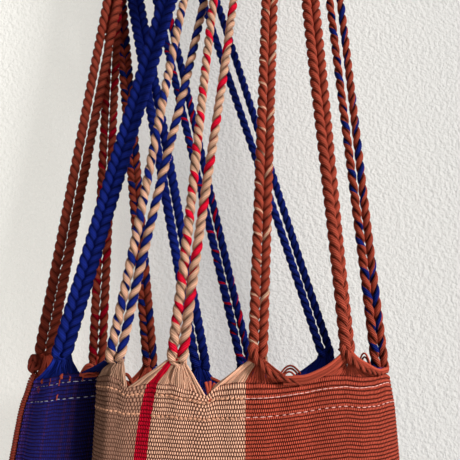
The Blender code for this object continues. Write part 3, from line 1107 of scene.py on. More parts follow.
def cord_route(gather, route, side):
    """The middle of one cord of a pair, from its gather to its collar."""
    nesting = OWN_NESTING.get(gather.name, NESTING) * MM
    closed = cord_diameter(gather) + PAIR_GAP - nesting
    straight = Vector((0, 0, CORD_END_STRAIGHT))
    root = middle_of(gather) + Vector((0, 0, CORD_LIFT - SINK.get(gather.name, 0)))
    slot = Vector((
        route.collar * COLLAR_X + route.column * SLOT_PITCH,
        COLLAR_Y[route.collar] + route.row * SLOT_PITCH,
        COLLAR_LOW_Z - TOUCH_GAP,
    ))
    first, middle, last = root + straight, middle_of(route), slot - straight
    points = [pair_point(root, closed * ROOT_SQUEEZE, gather.turn, side)]
    for k in range(LOWER_SEGMENTS + 1):
        f = k / LOWER_SEGMENTS
        parted = ease((f - KEPT_CLOSED) / (1 - KEPT_CLOSED))
        width = mix(closed, route.spread * MM - nesting, parted)
        turn = mix(gather.turn, route.turn, parted)
        points.append(pair_point(first.lerp(middle, f), width, turn, side))
    rise = last.z - middle.z
    start_slope = (middle - first) * rise / (middle.z - first.z)
    end_slope = (last - middle) * COLLAR_EASE
    for k in range(1, UPPER_SEGMENTS + 1):
        f = k / UPPER_SEGMENTS
        centre = middle.lerp(last, ease(f))
        centre += start_slope * f * (1 - f) ** 2 - end_slope * f * f * (1 - f)
        centre.z = middle.z + rise * f
        width = mix(route.spread * MM - nesting, SLOT_PITCH, ease(f))
        points.append(pair_point(centre, width, mix(route.turn, 0, ease(f)), side))
    return points + [pair_point(slot, SLOT_PITCH, 0, side)]


root_point, *_, end_point = cord_route(GATHERS[0], ROUTES[0], -1)
print("the first cord runs from z", round(root_point.z, 3), "to", round(end_point.z, 3))

# %% [markdown]
# ## Cords of twisted strands
#
# A cord is two plump strands laid round each other. The left cord of a pair turns one way and the
# right cord the other, so that their slanting lobes meet in a V, like a braid. The length of a turn
# differs from pair to pair, and a slow wander keeps the lobes uneven. A curve's own normals can
# flip on the way, so the two directions across the path are worked out here, from the world's Y.

# %% Table of the cords' lay
STRANDS = 2
STRAND_SHARE = 0.64  # half a strand's width, as a share of the cord's radius
LAY_SHARE = 0.49  # and how far the strand's middle is from the cord's

# mm for a full turn, the first strand's turn at the root in radians, and how plump the cord is at
# the root and half way up
Lay = namedtuple("Lay", "pitch start low high")
LAYS = {
    "front_blue": Lay(13, 0.3, 1.06, 1.08),
    "front_tan_blue": Lay(12.9, 0.9, 1.1, 1.04),
    "front_tan_red": Lay(13.2, 0.2, 1.2, 1.04),
    "front_rust_tan": Lay(13, 1.3, 1.15, 1.1),
    "front_rust": Lay(14.5, 0.5, 1.25, 1.2),
    "right_rust_blue": Lay(16.4, 2.1, 1.15, 1.02),
    "back_blue": Lay(12.8, 0.8, 1.08, 1.04),
    "back_blue_red": Lay(12.5, 0.1, 1.1, 1.08),
    "back_plain_blue": Lay(12.5, 1.7, 1.25, 1.34),
    "back_rust_blue": Lay(12.5, 0.6, 1.1, 1.08),
    "back_rust_red": Lay(12.8, 1.1, 1.15, 1.1),
    "left_rust": Lay(12.5, 0.4, 1.3, 1.16),
}
print(len(LAYS), "pairs of cords")

# %% Twisted path of a cord
PATH_STEPS = 24  # between two points of a route
WANDER = 0.14  # share by which the twist is slower or faster in places
WANDER_SCALE = 45  # cells of the noise on a metre of cord
RIGHT_CORD_TURNS = 100  # where the count of a right cord starts, to tell it from the left one


def across_directions(tangent):
    """Two directions across a path, the first one to its right."""
    right = Vector((0, 1, 0)).cross(tangent).normalized()
    return right, tangent.cross(right).normalized()


def twisted_path(points, pitch, hand, start, thick, seed, first_along=0.0):
    """A path for the cord tree, with the turn of the strands at each point."""
    fine = smooth_path(points, PATH_STEPS)
    along, angle, right, ahead = [], [], [], []
    length, turned = 0.0, start
    for k, point in enumerate(fine):
        if k:
            step = (point - fine[k - 1]).length
            length += step
            uneven = 1 + WANDER * noise.noise(Vector((length * WANDER_SCALE, seed, hand)))
            turned += hand * math.tau * step / (pitch * MM) * uneven
        tangent = fine[min(k + 1, len(fine) - 1)] - fine[max(k - 1, 0)]
        across, forward = across_directions(tangent.normalized())
        along.append(first_along + abs(turned - start) / math.tau * pitch * MM)
        angle.append(turned)
        right.append(across)
        ahead.append(forward)
    if not isinstance(thick, list):
        thick = [thick] * len(fine)
    places = {"points": fine, "along": along, "angle": angle}
    return {**places, "right": right, "ahead": ahead, "thick": thick}


upright = twisted_path([Vector(), Vector((0, 0, 100 * MM))], 10, 1, 0.0, 1.0, 0)
print("100 mm with a turn in 10 mm:", round(upright["angle"][-1] / math.tau, 2), "turns")

# %% Cords from their paths
CORD_STEP = 1.25 * MM
CORD_SIDES = 10
ROOT_WAIST = 0.78  # of a cord's thickness, at the very root
CORD_KINDS = {
    "along": "FLOAT",
    "angle": "FLOAT",
    "thick": "FLOAT",
    "right": "FLOAT_VECTOR",
    "ahead": "FLOAT_VECTOR",
}
CORD_LAY = {"Strands": STRANDS, "Strand radius": STRAND_SHARE, "Lay radius": LAY_SHARE}


def lay_cords(name, paths, material, lay=CORD_LAY, sides=CORD_SIDES, step=CORD_STEP):
    """One piece of all the cords that run on the paths."""
    piece = place_object(name, path_mesh(name, paths, CORD_KINDS))
    make_plain(piece, CORD_SHAPE, {**lay, "Step": step, "Sides": sides, "Material": material})
    print(name, len(piece.data.polygons), "faces")
    return piece


def thickness_on_the_way(gather, k):
    """A cord's radius at a point of its path: drawn in at the root, and all alike at the collar."""
    lay = LAYS[gather.name]
    half_way = (LOWER_SEGMENTS + 1) * PATH_STEPS
    plump = mix(lay.low, lay.high, ease(k / half_way))
    plump = mix(plump, 1, ease((k - half_way) / half_way))
    plump *= mix(ROOT_WAIST, 1, ease(k / (PATH_STEPS + 2)))
    past = ease((k - half_way) / (2 * PATH_STEPS))
    return mix(cord_diameter(gather) / 2, CORD_DIAMETER / 2, past) * plump


def pair_paths(gather, route):
    """The two cords of a pair, the right one a mirror of the left one."""
    lay = LAYS[gather.name]
    paths = []
    for side in (-1, 1):
        points = cord_route(gather, route, side)
        count = (len(points) - 1) * PATH_STEPS + 1
        thick = [thickness_on_the_way(gather, k) for k in range(count)]
        start = lay.start if side < 0 else math.pi - lay.start
        seed = GATHERS.index(gather) + side * 0.3
        first_along = 0 if side < 0 else RIGHT_CORD_TURNS * lay.pitch * MM
        paths.append(twisted_path(points, lay.pitch, side, start, thick, seed, first_along))
    return paths


print("steps along a cord:", CORD_STEP, "m")

# %% [markdown]
# ## Finish of the cords
#
# A cord's two strands are dyed in the pair's own yarn. In some pairs the second strand also has
# yarns of another colour, which come to the front now and then, so its finish lets that colour turn
# round the strand. Which strand a point belongs to is the whole part of V. Fine slanting lines
# across each strand are its own smaller yarns. The crown of a strand gets a painted highlight and
# the gaps between strands painted shade. Some pairs get painted light or painted shade, as they hang
# in the light or in the shade. A strand could be made of real small yarns, but with the colours in
# the finish two plain strands a cord are enough.

# %% Table of the cords' colours
# The second colour covers a share of a strand's girth, and comes round once in so many turns.
Recipe = namedtuple("Recipe", "second share left_turns right_turns")
RECIPES = {
    "front_tan_blue": Recipe("blue", 0.42, 2, 1),
    "front_tan_red": Recipe("pink", 0.5, 1.5, 2),
    "front_rust_tan": Recipe("tan", 0.85, 1.2, 1.5),
    "right_rust_blue": Recipe("blue", 0.55, 2.2, 1.2),
    "back_blue_red": Recipe("red", 0.8, 1.4, 1.2),
    "back_rust_blue": Recipe("blue", 0.5, 1.4, 1.7),
    "back_rust_red": Recipe("red", 0.6, 1.7, 1.4),
}
# Painted light or shade of whole pairs, as they hang in the light or in the shade of others
OWN_LIGHT = {"left_rust": 0.68, "back_plain_blue": 1.2, "front_blue": 1.1}
BACK_RUST_LIGHT = 0.74
FRONT_RUST_LIGHT = 0.9
BEHIND_Y = 5  # mm, from which on a gather is one of the back


def is_behind(gather):
    """Whether a gather is one of the back half."""
    return gather.y > BEHIND_Y


def cord_light(gather):
    """How much painted light or shade a pair gets. Without a light of its own, rust gets painted shade,
    and most so behind.
    """
    if gather.name in OWN_LIGHT:
        return OWN_LIGHT[gather.name]
    if gather.yarn != "rust":
        return 1
    return BACK_RUST_LIGHT if is_behind(gather) else FRONT_RUST_LIGHT


print("light of each pair:", *[cord_light(gather) for gather in GATHERS])

# %% Finish of the cords
YARNS_PER_STRAND = 9
YARN_TWIST = 14 * MM  # length in which they move on by their own width
CORD_RELIEF = 0.7 * MM

# How light a strand is: at least, more on its small yarns, so that the grooves between them get
# painted shade, by chance in each of them, and with soil. Then what it has of that at its sides,
# with a painted highlight on its crown and painted shade in the gaps.
STRAND_LEAST, YARN_LIGHT, YARN_CHANCE, SOIL_LIGHT = 0.44, 0.4, 0.24, 0.3
SIDE_LIGHT, CROWN_LIGHT = 0.6, 0.5


def yarn_lines(along, around):
    """The rounded small yarns on a strand: their height from 0 to 1, and each one's own number."""
    count = around * YARNS_PER_STRAND + along * (1 / YARN_TWIST)
    return 1 - (count.part() * 2 - 1).size() ** 2, count.floor()


def second_colour(bench, own, recipe, lay, along, turn):
    """The second strand's colour, in which another yarn comes round to the front."""
    drift = bench.cloud(bench.place(), 40, 0)
    right_cord = along > RIGHT_CORD_TURNS / 2 * lay.pitch * MM
    turns = along * (1 / (lay.pitch * MM)) - lay.start / math.tau - 0.75  # from the front on
    slow_left = turns * (1 / recipe.left_turns) * (1 - right_cord)
    slow = slow_left + turns * (1 / recipe.right_turns) * right_cord
    around = (turn + slow + (1 + recipe.share) / 2 + (drift - 0.5) * 0.5).part()
    return bench.blend(around > recipe.share, own, COTTON[recipe.second])


def cord_finish(gather):
    """Strands of small twisted yarns, in the colours of the pair."""
    made, bench, shader = cotton("cords_" + gather.name)
    along, turn = bench.lay()
    own, recipe = COTTON[gather.yarn], RECIPES.get(gather.name)
    strand = turn > 1
    colour = own
    if recipe:
        other = second_colour(bench, own, recipe, LAYS[gather.name], along, turn)
        colour = bench.blend(strand, own, other)
    height, number = yarn_lines(along, turn)
    soil = bench.cloud(bench.place(), 160, 2)
    # Painted highlight on a strand's crown and painted shade toward the cord's middle
    crown = (turn.part() * math.tau).cosine()  # 1 outside and -1 toward the cord's middle
    tone = STRAND_LEAST + height * YARN_LIGHT + bench.draw(number, strand) * YARN_CHANCE
    tone = (tone + soil * SOIL_LIGHT) * (SIDE_LIGHT + crown * CROWN_LIGHT) * cord_light(gather)
    plug(bench, shader, "Base Color", bench.shade(colour, tone))
    plug(bench, shader, "Normal", bench.bump(height, 0.9, CORD_RELIEF))
    return made


print(len(RECIPES), "pairs with a second colour")

# %% All the cords
cord_pieces = {}
for gather, route in zip(GATHERS, ROUTES):
    name = "cords_" + gather.name
    piece = lay_cords(name, pair_paths(gather, route), cord_finish(gather))
    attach(piece, "root")
    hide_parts(f"cord_{gather.name}_a", f"cord_{gather.name}_b")
    cord_pieces[gather.name] = piece

# %% [markdown]
# ## Bare warp between cloth and cords
#
# Above the woven edge the warp ends are bare. Every end is a yarn of its own. It starts inside the
# cloth and closes in with the others of its gather to a narrow sheet. Just below the root the sheet
# parts into four bundles, one for each strand of the two cords, of which the two middle ones cross,
# and each end is laid into its strand. Some ends at the back of the sheet run straight to the
# middle of the root, so that no light shows through. A fan-shaped surface with painted lines would
# be lighter, but its edge would be smooth where the real one is threads.

# %% Finish of bare warp and plain yarns
FIBRE_SCALE = 2200
FIBRE_RELIEF = 0.2 * MM
PLAIN_LEAST, PLAIN_CHANCE, FIBRE_LIGHT = 0.4, 0.85, 0.36  # how light: at least, by chance, by fibre


def yarn_finish(name, colour=None):
    """Cotton yarn. Without a colour it is dyed as the cloth's stripe that it grows from, and gets the
    painted light and shade of the folds there.
    """
    made, bench, shader = cotton(name)
    s, mark = bench.lay()
    chance = bench.add("ShaderNodeTexWhiteNoise", {"noise_dimensions": "1D"}, {"W": mark.floor()})
    fibres = bench.cloud(bench.place(), FIBRE_SCALE, 1)
    tone = PLAIN_LEAST + chance * PLAIN_CHANCE + fibres * FIBRE_LIGHT
    if colour is None:
        colour = stripe_colour(bench, s)
        # The bare warp gets the painted light and shade of the folds, as the cloth does
        tone = tone * fold_shade(s)
    plug(bench, shader, "Base Color", bench.shade(colour, tone))
    plug(bench, shader, "Normal", bench.bump(fibres, 0.35, FIBRE_RELIEF))
    return made


WARP_FINISH = yarn_finish("bare_warp")
RUST_YARN = yarn_finish("rust_yarn", COTTON["rust"])
SEAM_YARN = yarn_finish("seam_yarn", linear(134, 54, 41))
print("warp, rust and seam yarn")

# %% Sizes of the gathers' fans
WARP_SPACING = 0.85  # mm along the woven edge
WARP_RADIUS = 0.52 * MM
WARP_STEPS = 8
TUCK = 2 * MM  # of each end inside the cloth
LAID_HEIGHT = 8 * MM  # over the root, up to which an end follows its strand
SHEET_TOP = 7.5 * MM  # breadth of the sheet of ends where it parts into bundles
PARTING = 0.87  # share of the way up at which it does
BUNDLE_RADIUS = 1.7  # mm
BUNDLE_RINGS = 9  # distances from a bundle's middle at which its ends lie
GOLDEN_TURN = 2.39996  # radians, which spreads points evenly over a disc
LAYERS = (0.3, -0.5)  # mm to the front and the back, in turn
END_SWAY = 0.12  # mm
END_THICKNESS = (0.85, 1.12)  # thinnest and thickest, as a share of the radius
BACKING_ENDS = 15  # behind the sheet
BACKING_DEPTH = 0.8  # mm
BACKING_RISE = 4 * MM  # over the root
BACKING_SPAN = (0.26, 0.034)  # place of the first as a share of the gather, and the step to the next

# Each bundle's cord, -1 for the left one, its strand, and mm by which it bulges over the others
Bundle = namedtuple("Bundle", "side strand over")
BUNDLES = (Bundle(-1, 0, 1.0), Bundle(1, 0, -0.7), Bundle(-1, 1, 1.3), Bundle(1, 1, 0.2))

# How the two edges of a gather's ends close in, 1 straight and more hollow, and the stretch of the
# woven edge that they grow from, where that isn't the gather's own
Fan = namedtuple("Fan", "first last start end")
PLAIN_FAN = Fan(1.4, 1.4, None, None)
FANS = {
    "front_blue": Fan(1.7, 1.6, None, 42),
    "front_tan_blue": Fan(1.05, 0.75, 42, None),
    "front_tan_red": Fan(1.0, 0.9, None, None),
    "front_rust_tan": Fan(0.85, 1.1, None, None),
    "front_rust": Fan(1.9, 1.8, None, None),
    "back_blue": Fan(1.3, 1.2, None, None),
}
print(len(FANS), "fans with a form of their own")


# %% Strands above the root, and ends behind the sheet
ROOT_STEPS = 12  # between two points of a route, fine enough to measure a height on it


def strand_point(gather, route, bundle, height):
    """The middle of a strand of a cord, height above its root."""
    lay = LAYS[gather.name]
    start = lay.start if bundle.side < 0 else math.pi - lay.start
    path = smooth_path(cord_route(gather, route, bundle.side)[:4], ROOT_STEPS)
    length = 0
    for k in range(1, len(path)):
        step = (path[k] - path[k - 1]).length
        if length + step >= height:
            break
        length += step
    tangent = (path[k] - path[k - 1]).normalized()
    right, ahead = across_directions(tangent)
    angle = start + bundle.side * math.tau * height / (lay.pitch * MM) + bundle.strand * math.pi
    reach = LAY_SHARE * cord_diameter(gather) / 2
    out = (right * math.cos(angle) + ahead * math.sin(angle)) * reach
    return path[k - 1] + tangent * (height - length) + out


def level(angle):
    """A direction in the level plane."""
    return Vector((math.cos(angle), math.sin(angle), 0))


def backing_end(s, middle, number):
    """An end that runs straight to the middle of the root."""
    foot = woven_point(s, 0)
    behind = outward_at(s, 0) * -BACKING_DEPTH * MM
    head = middle + Vector((0, 0, BACKING_RISE)) + behind
    points = [woven_point(s, TUCK)] + [foot.lerp(head, k / 3) + behind for k in range(4)]
    return yarn(smooth_path(points, 3), WARP_RADIUS, number, s * MM)


first_strand = strand_point(GATHERS[0], ROUTES[0], BUNDLES[0], 0)
print("first strand at the root:", *[round(c, 3) for c in first_strand])


# %% Bare warp
def warp_ends(gather, route, rng):
    """All the yarns of a gather, from left to right."""
    fan = FANS.get(gather.name, PLAIN_FAN)
    start = gather.start if fan.start is None else fan.start
    end = gather.end if fan.end is None else fan.end
    size = cord_diameter(gather) / CORD_DIAMETER
    heights = [LAID_HEIGHT * j / 2 for j in range(3)]
    laid = [[strand_point(gather, route, bundle, height) for height in heights] for bundle in BUNDLES]
    middle = sum((points[0] for points in laid), Vector()) / len(laid)
    broad = level(math.radians(gather.turn)) * (-1 if is_behind(gather) else 1) * SHEET_TOP * size
    first, pitch = BACKING_SPAN
    ends = [backing_end(mix(start, end, first + pitch * k), middle, k) for k in range(BACKING_ENDS)]
    count = round((end - start) / WARP_SPACING)
    for k in range(count):
        share = (k + 0.5) / count
        s = mix(start, end, share)
        order = min(int(share * len(BUNDLES)), len(BUNDLES) - 1)
        if is_behind(gather):
            order = len(BUNDLES) - 1 - order  # seen from outside, left and right change places
        head, above, top = laid[order]
        foot = woven_point(s, 0)
        out = outward_at(s, 0)
        ring = math.sqrt((k % BUNDLE_RINGS + 0.5) / BUNDLE_RINGS)
        across = level(k * GOLDEN_TURN) * ring * BUNDLE_RADIUS * MM * size
        head = head + across
        sheet_head = middle + broad * (share - 0.5) + across * 0.5
        hollow = mix(fan.first, fan.last, share)
        over = BUNDLES[order].over * MM
        layer = LAYERS[k % 2] * MM
        points = [woven_point(s, TUCK), foot + out * layer * 0.5]
        for j in range(1, WARP_STEPS + 1):
            up = j / WARP_STEPS
            close = 1 - (1 - up) ** hollow
            aim = sheet_head.lerp(head, ease((up - PARTING) / (1 - PARTING)))
            point = foot.lerp(aim, close)
            point.z = foot.z + (head.z - foot.z) * up
            bulge = over * math.sin(math.pi * up) * ease(up * 2)
            points.append(point + out * (layer * (1 - up) + bulge))
        points += [above + across * 0.7, top + across * 0.1]
        sways = [(rng.uniform(-1, 1), rng.uniform(-1, 1)) for point in points]
        points = [point + Vector((x, y, 0)) * END_SWAY * MM for point, (x, y) in zip(points, sways)]
        thick = WARP_RADIUS * rng.uniform(*END_THICKNESS)
        ends.append(yarn(smooth_path(points, 2), thick, k, s * MM))
    return ends


rng = random.Random(7)
ends = [end for gather, route in zip(GATHERS, ROUTES) for end in warp_ends(gather, route, rng)]
bare_warp = spin_yarns("bare_warp", ends, WARP_FINISH, 5)
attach(bare_warp, "root")

# %% [markdown]
# ## Heading cord
#
# Thick rust yarn was laid in as the first weft. It slips out between the gathers as loose loops,
# runs in the open along the upper edges of the two rust gathers in front, fills the notch between
# a tan one and its neighbour, and ties the seam's head to the gather behind it. Some of its ends are
# knotted down on the blue stripe. All are yarns on short paths that were set one by one, because no
# rule gives the way in which a loose yarn falls.

# %% Loops and knotted ends
Loop = namedtuple("Loop", "start end rise out thick")  # all in mm
LOOPS = [Loop(*row) for row in (
    (374, 400, 6.5, 0, 1.15), (376, 398, 2.8, 0.5, 1.1), (442, 456, 9, 0, 1.2),
    (444, 455, 4, 0.6, 1.2), (321, 341, 11.5, 0, 0.7), (323, 339, 9.5, 0.6, 0.7),
    (325, 338, 7.5, 0, 0.7), (409, 417, 5, 0, 1.1), (481, 491, 6, 0, 1.1),
    (278, 289, 19, 0, 0.6), (279, 288, 16.5, 0.6, 0.6), (42, 52, 6.5, 0.8, 1.0),
    (43, 51, 4.3, 1.2, 1.0), (43, 51, 2, 1.6, 1.0), (44, 50, 0, 1.8, 1.0),
)]
LOOP_STEPS = 12
LOOP_SINK = 1.5  # mm by which its feet are inside the cloth
Bit = namedtuple("Bit", "s top bottom thick")  # a knotted end, all in mm
BITS = [Bit(*row) for row in (
    (5, 4, 7.5, 0.35), (9, 0.4, 2.2, 1.0), (20, 0.5, 5, 0.35), (28, 2.5, 6, 0.4), (29, 0.2, 1.8, 1.0),
    (36, 1, 4, 0.35), (44, 2.5, 4.5, 0.4), (8, 5.5, 8, 0.3), (28.5, 11, 14, 0.45),
)]
BIT_STEPS = 5


def loop_path(loop):
    """A loop that rises out of the woven edge and goes back into it."""
    points = []
    for k in range(LOOP_STEPS + 1):
        share = k / LOOP_STEPS
        s = mix(loop.start, loop.end, share)
        lift = Vector((0, 0, (loop.rise * math.sin(math.pi * share) - LOOP_SINK) * MM))
        points.append(woven_point(s, 0) + outward_at(s, 0) * loop.out * MM + lift)
    return yarn(smooth_path(points, 2), loop.thick * MM, loop.start)


def bit_path(bit):
    """A short end that lies on the face of the cloth."""
    points = []
    for k in range(BIT_STEPS + 1):
        down = (bit.top + (bit.bottom - bit.top) * k / BIT_STEPS) * MM
        bow = math.sin(math.pi * k / BIT_STEPS)
        out = WOVEN_THICKNESS / 2 + rib(down) - bit.thick * 0.4 * MM * (1 - bow)
        points.append(woven_point(bit.s, down) + outward_at(bit.s, 0) * out)
    return yarn(smooth_path(points, 2), bit.thick * MM, bit.s)


heading = [loop_path(loop) for loop in LOOPS] + [bit_path(bit) for bit in BITS]
print(len(LOOPS), "loops,", len(BITS), "knotted ends")

# %% Edges, notch and ties
EDGE_YARN = 0.9 * MM

# Places in mm, z counted from the level of the roots
LEFT_EDGE = (
    (46, -38.5, -8.6), (54, -38.4, -8.2), (59.5, -38, -7.6), (67.5, -37, -4.6), (74, -35.5, -1.2),
    (81, -33, 4),
)
RIGHT_EDGE = ((86, -31, 6), (90.4, -29.8, 1.3), (97, -26, -2.6), (105.2, -19.8, -6.6), (113.8, -9, -6.9))
NOTCH = (
    ((2.2, -35.5, -11.5), (3.6, -36.8, -16), (4.5, -38.2, -21.5)),
    ((4.6, -35.3, -11), (4.7, -37, -16), (4.7, -38.4, -22)),
    ((7.2, -35.5, -12), (6, -36.8, -16), (4.9, -38.2, -21.5)),
)
TIES = (
    ((-108, -0.6, -17), (-106.9, 0.8, -12), (-105.8, 3.5, -7), (-105.2, 6.5, -1)),
    ((-106.8, -0.2, -17), (-105.4, 1.2, -12), (-104.6, 4, -7), (-104, 6.5, -1)),
)
RUNS = ((LEFT_EDGE, (0, -1.7, -3.3)), (RIGHT_EDGE, (0, -1.7)))  # one run of yarn below another


def open_path(places, drop=0.0):
    """A path through places in the open."""
    return [Vector((x * MM, y * MM, ROOT_Z + (z + drop) * MM)) for x, y, z in places]


edges = [(places, 0) for places in NOTCH + TIES]
edges += [(places, drop) for places, drops in RUNS for drop in drops]
heading += [yarn(smooth_path(open_path(places, drop), 5), EDGE_YARN, drop) for places, drop in edges]
heading_cord = spin_yarns("heading_cord", heading, RUST_YARN, 8)
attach(heading_cord, "root")

# %% [markdown]
# ## Two bundles that cross over
#
# In the two rust gathers one bundle of ends is twisted by itself. It leaves the left cord, passes
# over the others and runs down to the right, thinner and thinner. The cords' tree makes it, on a
# path whose thickness shrinks.

# %% Crossing bundles
CROSSINGS = (
    (
        (28, -38.6, 9), (29.6, -40.6, 4), (33.5, -41, -1.5), (38.5, -40.4, -6), (44.7, -39.9, -8.6),
        (57, -37.6, -12),
    ),
    (
        (81, -31.6, 8), (83, -34, 3.8), (86.6, -33.4, -0.3), (91.8, -31, -3.8), (97.3, -27.3, -6.2),
        (108, -17, -9.4),
    ),
)
CROSSING_PITCH = 11  # mm
CROSSING_RADIUS = (3.0 * MM, 1.4 * MM)  # where it starts and ends
CROSSING_STEP = 0.9 * MM


def crossing(places, seed):
    """A path for the cord tree that grows thinner."""
    points = open_path(places)
    count = (len(points) - 1) * PATH_STEPS + 1
    thick = [mix(*CROSSING_RADIUS, k / (count - 1)) for k in range(count)]
    return twisted_path(points, CROSSING_PITCH, 1, 0.6, thick, seed)


paths = [crossing(places, k) for k, places in enumerate(CROSSINGS)]
rust_cord = cord_pieces["front_rust"].data.materials[0]
bundles = lay_cords("crossing_bundles", paths, rust_cord, step=CROSSING_STEP)
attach(bundles, "root")

# %% [markdown]
# ## Whipped seams
#
# The left seam and the bottom seam are closed with rust yarn whipped over both edges. One strand
# round a path gives such a coil, and the same tree as the cords' makes it. Its path is the cloth's
# own edge, moved out by half the roll.

# %% Whipped seams
SEAM_OUT = 2.5 * MM  # from the cloth's edge to the middle of the roll
SEAM_RADIUS = 2.2 * MM
SEAM_PITCH = 1.6  # mm
SEAM_LENGTH = 0.286  # metres, from the cloth's corner down
SEAM_HEAD = Vector((2.6 * MM, 0, 4.5 * MM))  # from the cloth's corner up to the knot
SIDE_STEPS = 40
BOTTOM_STEPS = 24
COIL_STEP = 0.18 * MM
COIL_SIDES = 7
COIL_LAY = {"Strands": 1, "Strand radius": 0.36, "Lay radius": 0.72}  # shares of the roll's radius


def whipped(name, points, radius, pitch, lay=COIL_LAY, sides=COIL_SIDES, step=COIL_STEP):
    """One yarn wound round a path. The length of its name is its seed."""
    path = twisted_path(points, pitch, 1, 0.0, radius, len(name))
    return lay_cords(name, [path], SEAM_YARN, lay, sides, step)


edge = [woven_point(0, SEAM_LENGTH * k / SIDE_STEPS) for k in range(SIDE_STEPS + 1)]
side_line = [Vector((point.x - SEAM_OUT, 0, point.z)) for point in edge]
side_line.insert(0, side_line[0] + SEAM_HEAD)
side_whipping = whipped("side_whipping", side_line, SEAM_RADIUS, SEAM_PITCH)
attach(side_whipping, "root")
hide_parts("side_seam")

low = BOTTOM_Z - SEAM_OUT
half = CLOTH_WIDTH / 4 * MM
bottom_line = [Vector((-half + 2 * half * k / BOTTOM_STEPS, 0, low)) for k in range(BOTTOM_STEPS + 1)]
bottom_whipping = whipped("bottom_whipping", bottom_line, SEAM_RADIUS, SEAM_PITCH)
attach(bottom_whipping, "root")
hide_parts("bottom_seam")

# %% [markdown]
# ## Collars
#
# The cords of each side end in a collar that is whipped over with rust yarn. A collar's coil runs
# round a rectangle with round corners, so its path is worked out turn by turn, and the yarn tree
# gives it its skin. The plain collar stays in it as its core, with a dark rust finish that shows
# between the turns.

# %% Finish of the cores
def solid_finish(name):
    """Rust cotton for what shows between the turns of a winding."""
    made, bench, shader = cotton(name)
    grain = bench.cloud(bench.place(), 900, 2)
    plug(bench, shader, "Base Color", bench.shade(COTTON["rust"], 0.35 + grain * 0.4))
    plug(bench, shader, "Normal", bench.bump(grain, 0.5, 0.3 * MM))
    return made


PLAIN_RUST = solid_finish("rust_core")


def dress_core(node):
    """Give a plain solid that keeps showing its finish."""
    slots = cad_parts[node].data.materials
    slots.clear()
    slots.append(PLAIN_RUST)
    print(node, "dressed")


# %% Collars
COLLAR_HEIGHT = 30 * MM
COLLAR_WIDTH = 27 * MM
COLLAR_DEPTH = 21 * MM
COLLAR_CORNER = 6 * MM
COLLAR_YARN = 0.95 * MM
COLLAR_TURNS = 17
COLLAR_AIR = 0.4 * MM  # by which the coil is wider than the core
CORNER_STEPS = 4


def rounded_rectangle(width, depth, corner):
    """Points round a rectangle with round corners, in order."""
    points = []
    for quarter in range(4):
        x_side = 1 if quarter in (0, 3) else -1
        y_side = 1 if quarter in (0, 1) else -1
        for k in range(CORNER_STEPS + 1):
            angle = math.pi / 2 * (quarter + k / CORNER_STEPS)
            x = x_side * (width / 2 - corner) + corner * math.cos(angle)
            y = y_side * (depth / 2 - corner) + corner * math.sin(angle)
            points.append((x, y))
    return points


def collar_whipping(name, node, x, y):
    """A coil up the collar, one ring of points a turn."""
    ring = rounded_rectangle(COLLAR_WIDTH + COLLAR_AIR, COLLAR_DEPTH + COLLAR_AIR, COLLAR_CORNER)
    coil = []
    for k in range(COLLAR_TURNS * len(ring) + 1):
        turn = k / len(ring)
        px, py = ring[k % len(ring)]
        z = COLLAR_LOW_Z + COLLAR_YARN + (COLLAR_HEIGHT - 2 * COLLAR_YARN) * turn / COLLAR_TURNS
        coil.append(Vector((x + px, y + py, z)))
    piece = spin_yarns(name, [yarn(coil, COLLAR_YARN, 1)], RUST_YARN, 8)
    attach(piece, "root")
    dress_core(node)


collar_whipping("front_collar_whipping", "front_collar", COLLAR_X, COLLAR_Y[1])
collar_whipping("back_collar_whipping", "back_collar", -COLLAR_X, COLLAR_Y[-1])

# %% [markdown]
# ## Handle
#
# A rope arch joins the two collars, wound with the seam's yarn turn by turn. The winding is the
# cords' tree with one thin strand on a wide radius.

# %% Handle
HANDLE_RADIUS = 10 * MM
HANDLE_SEGMENTS = 28
HANDLE_PITCH = 2.1  # mm
HANDLE_STEP = 0.14 * MM
HANDLE_SIDES = 6
HANDLE_LAY = {"Strands": 1, "Strand radius": 0.115, "Lay radius": 0.985}  # shares of its radius

foot_z = COLLAR_LOW_Z + COLLAR_HEIGHT + TOUCH_GAP + CORD_END_STRAIGHT
arch_rise = HANDLE_RADIUS - foot_z
arch = [Vector((COLLAR_X, COLLAR_Y[1], foot_z - CORD_END_STRAIGHT))]
for k in range(HANDLE_SEGMENTS + 1):
    angle = math.pi * k / HANDLE_SEGMENTS
    share = (1 - math.cos(angle)) / 2
    arch.append(Vector((
        COLLAR_X * math.cos(angle),
        mix(COLLAR_Y[1], COLLAR_Y[-1], share),
        foot_z + arch_rise * math.sin(angle),
    )))
arch.append(Vector((-COLLAR_X, COLLAR_Y[-1], foot_z - CORD_END_STRAIGHT)))
handle_winding = whipped(
    "handle_winding", arch, HANDLE_RADIUS, HANDLE_PITCH, HANDLE_LAY, HANDLE_SIDES, HANDLE_STEP
)
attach(handle_winding, "root")
dress_core("handle")

# %% [markdown]
# ## Knot at the head of the side seam
#
# The seam's yarn ends in a knot of a few loops. A trefoil, a loop that crosses itself three times,
# has such an outline when it is drawn tight, and two of them, one swung against the other, make
# the lump.

# %% Seam knot
KNOT_RADIUS = 3.3 * MM
KNOT_RISE = 5.6 * MM  # it is drawn upwards
KNOT_STEPS = 60
KNOT_YARN = 1.25 * MM
KNOT_SWINGS = (0.0, 1.2)  # radians
knot_low, knot_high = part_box("seam_knot")
knot_middle = (knot_low + knot_high) / 2 + Vector((1.2 * MM, 0, KNOT_RISE))


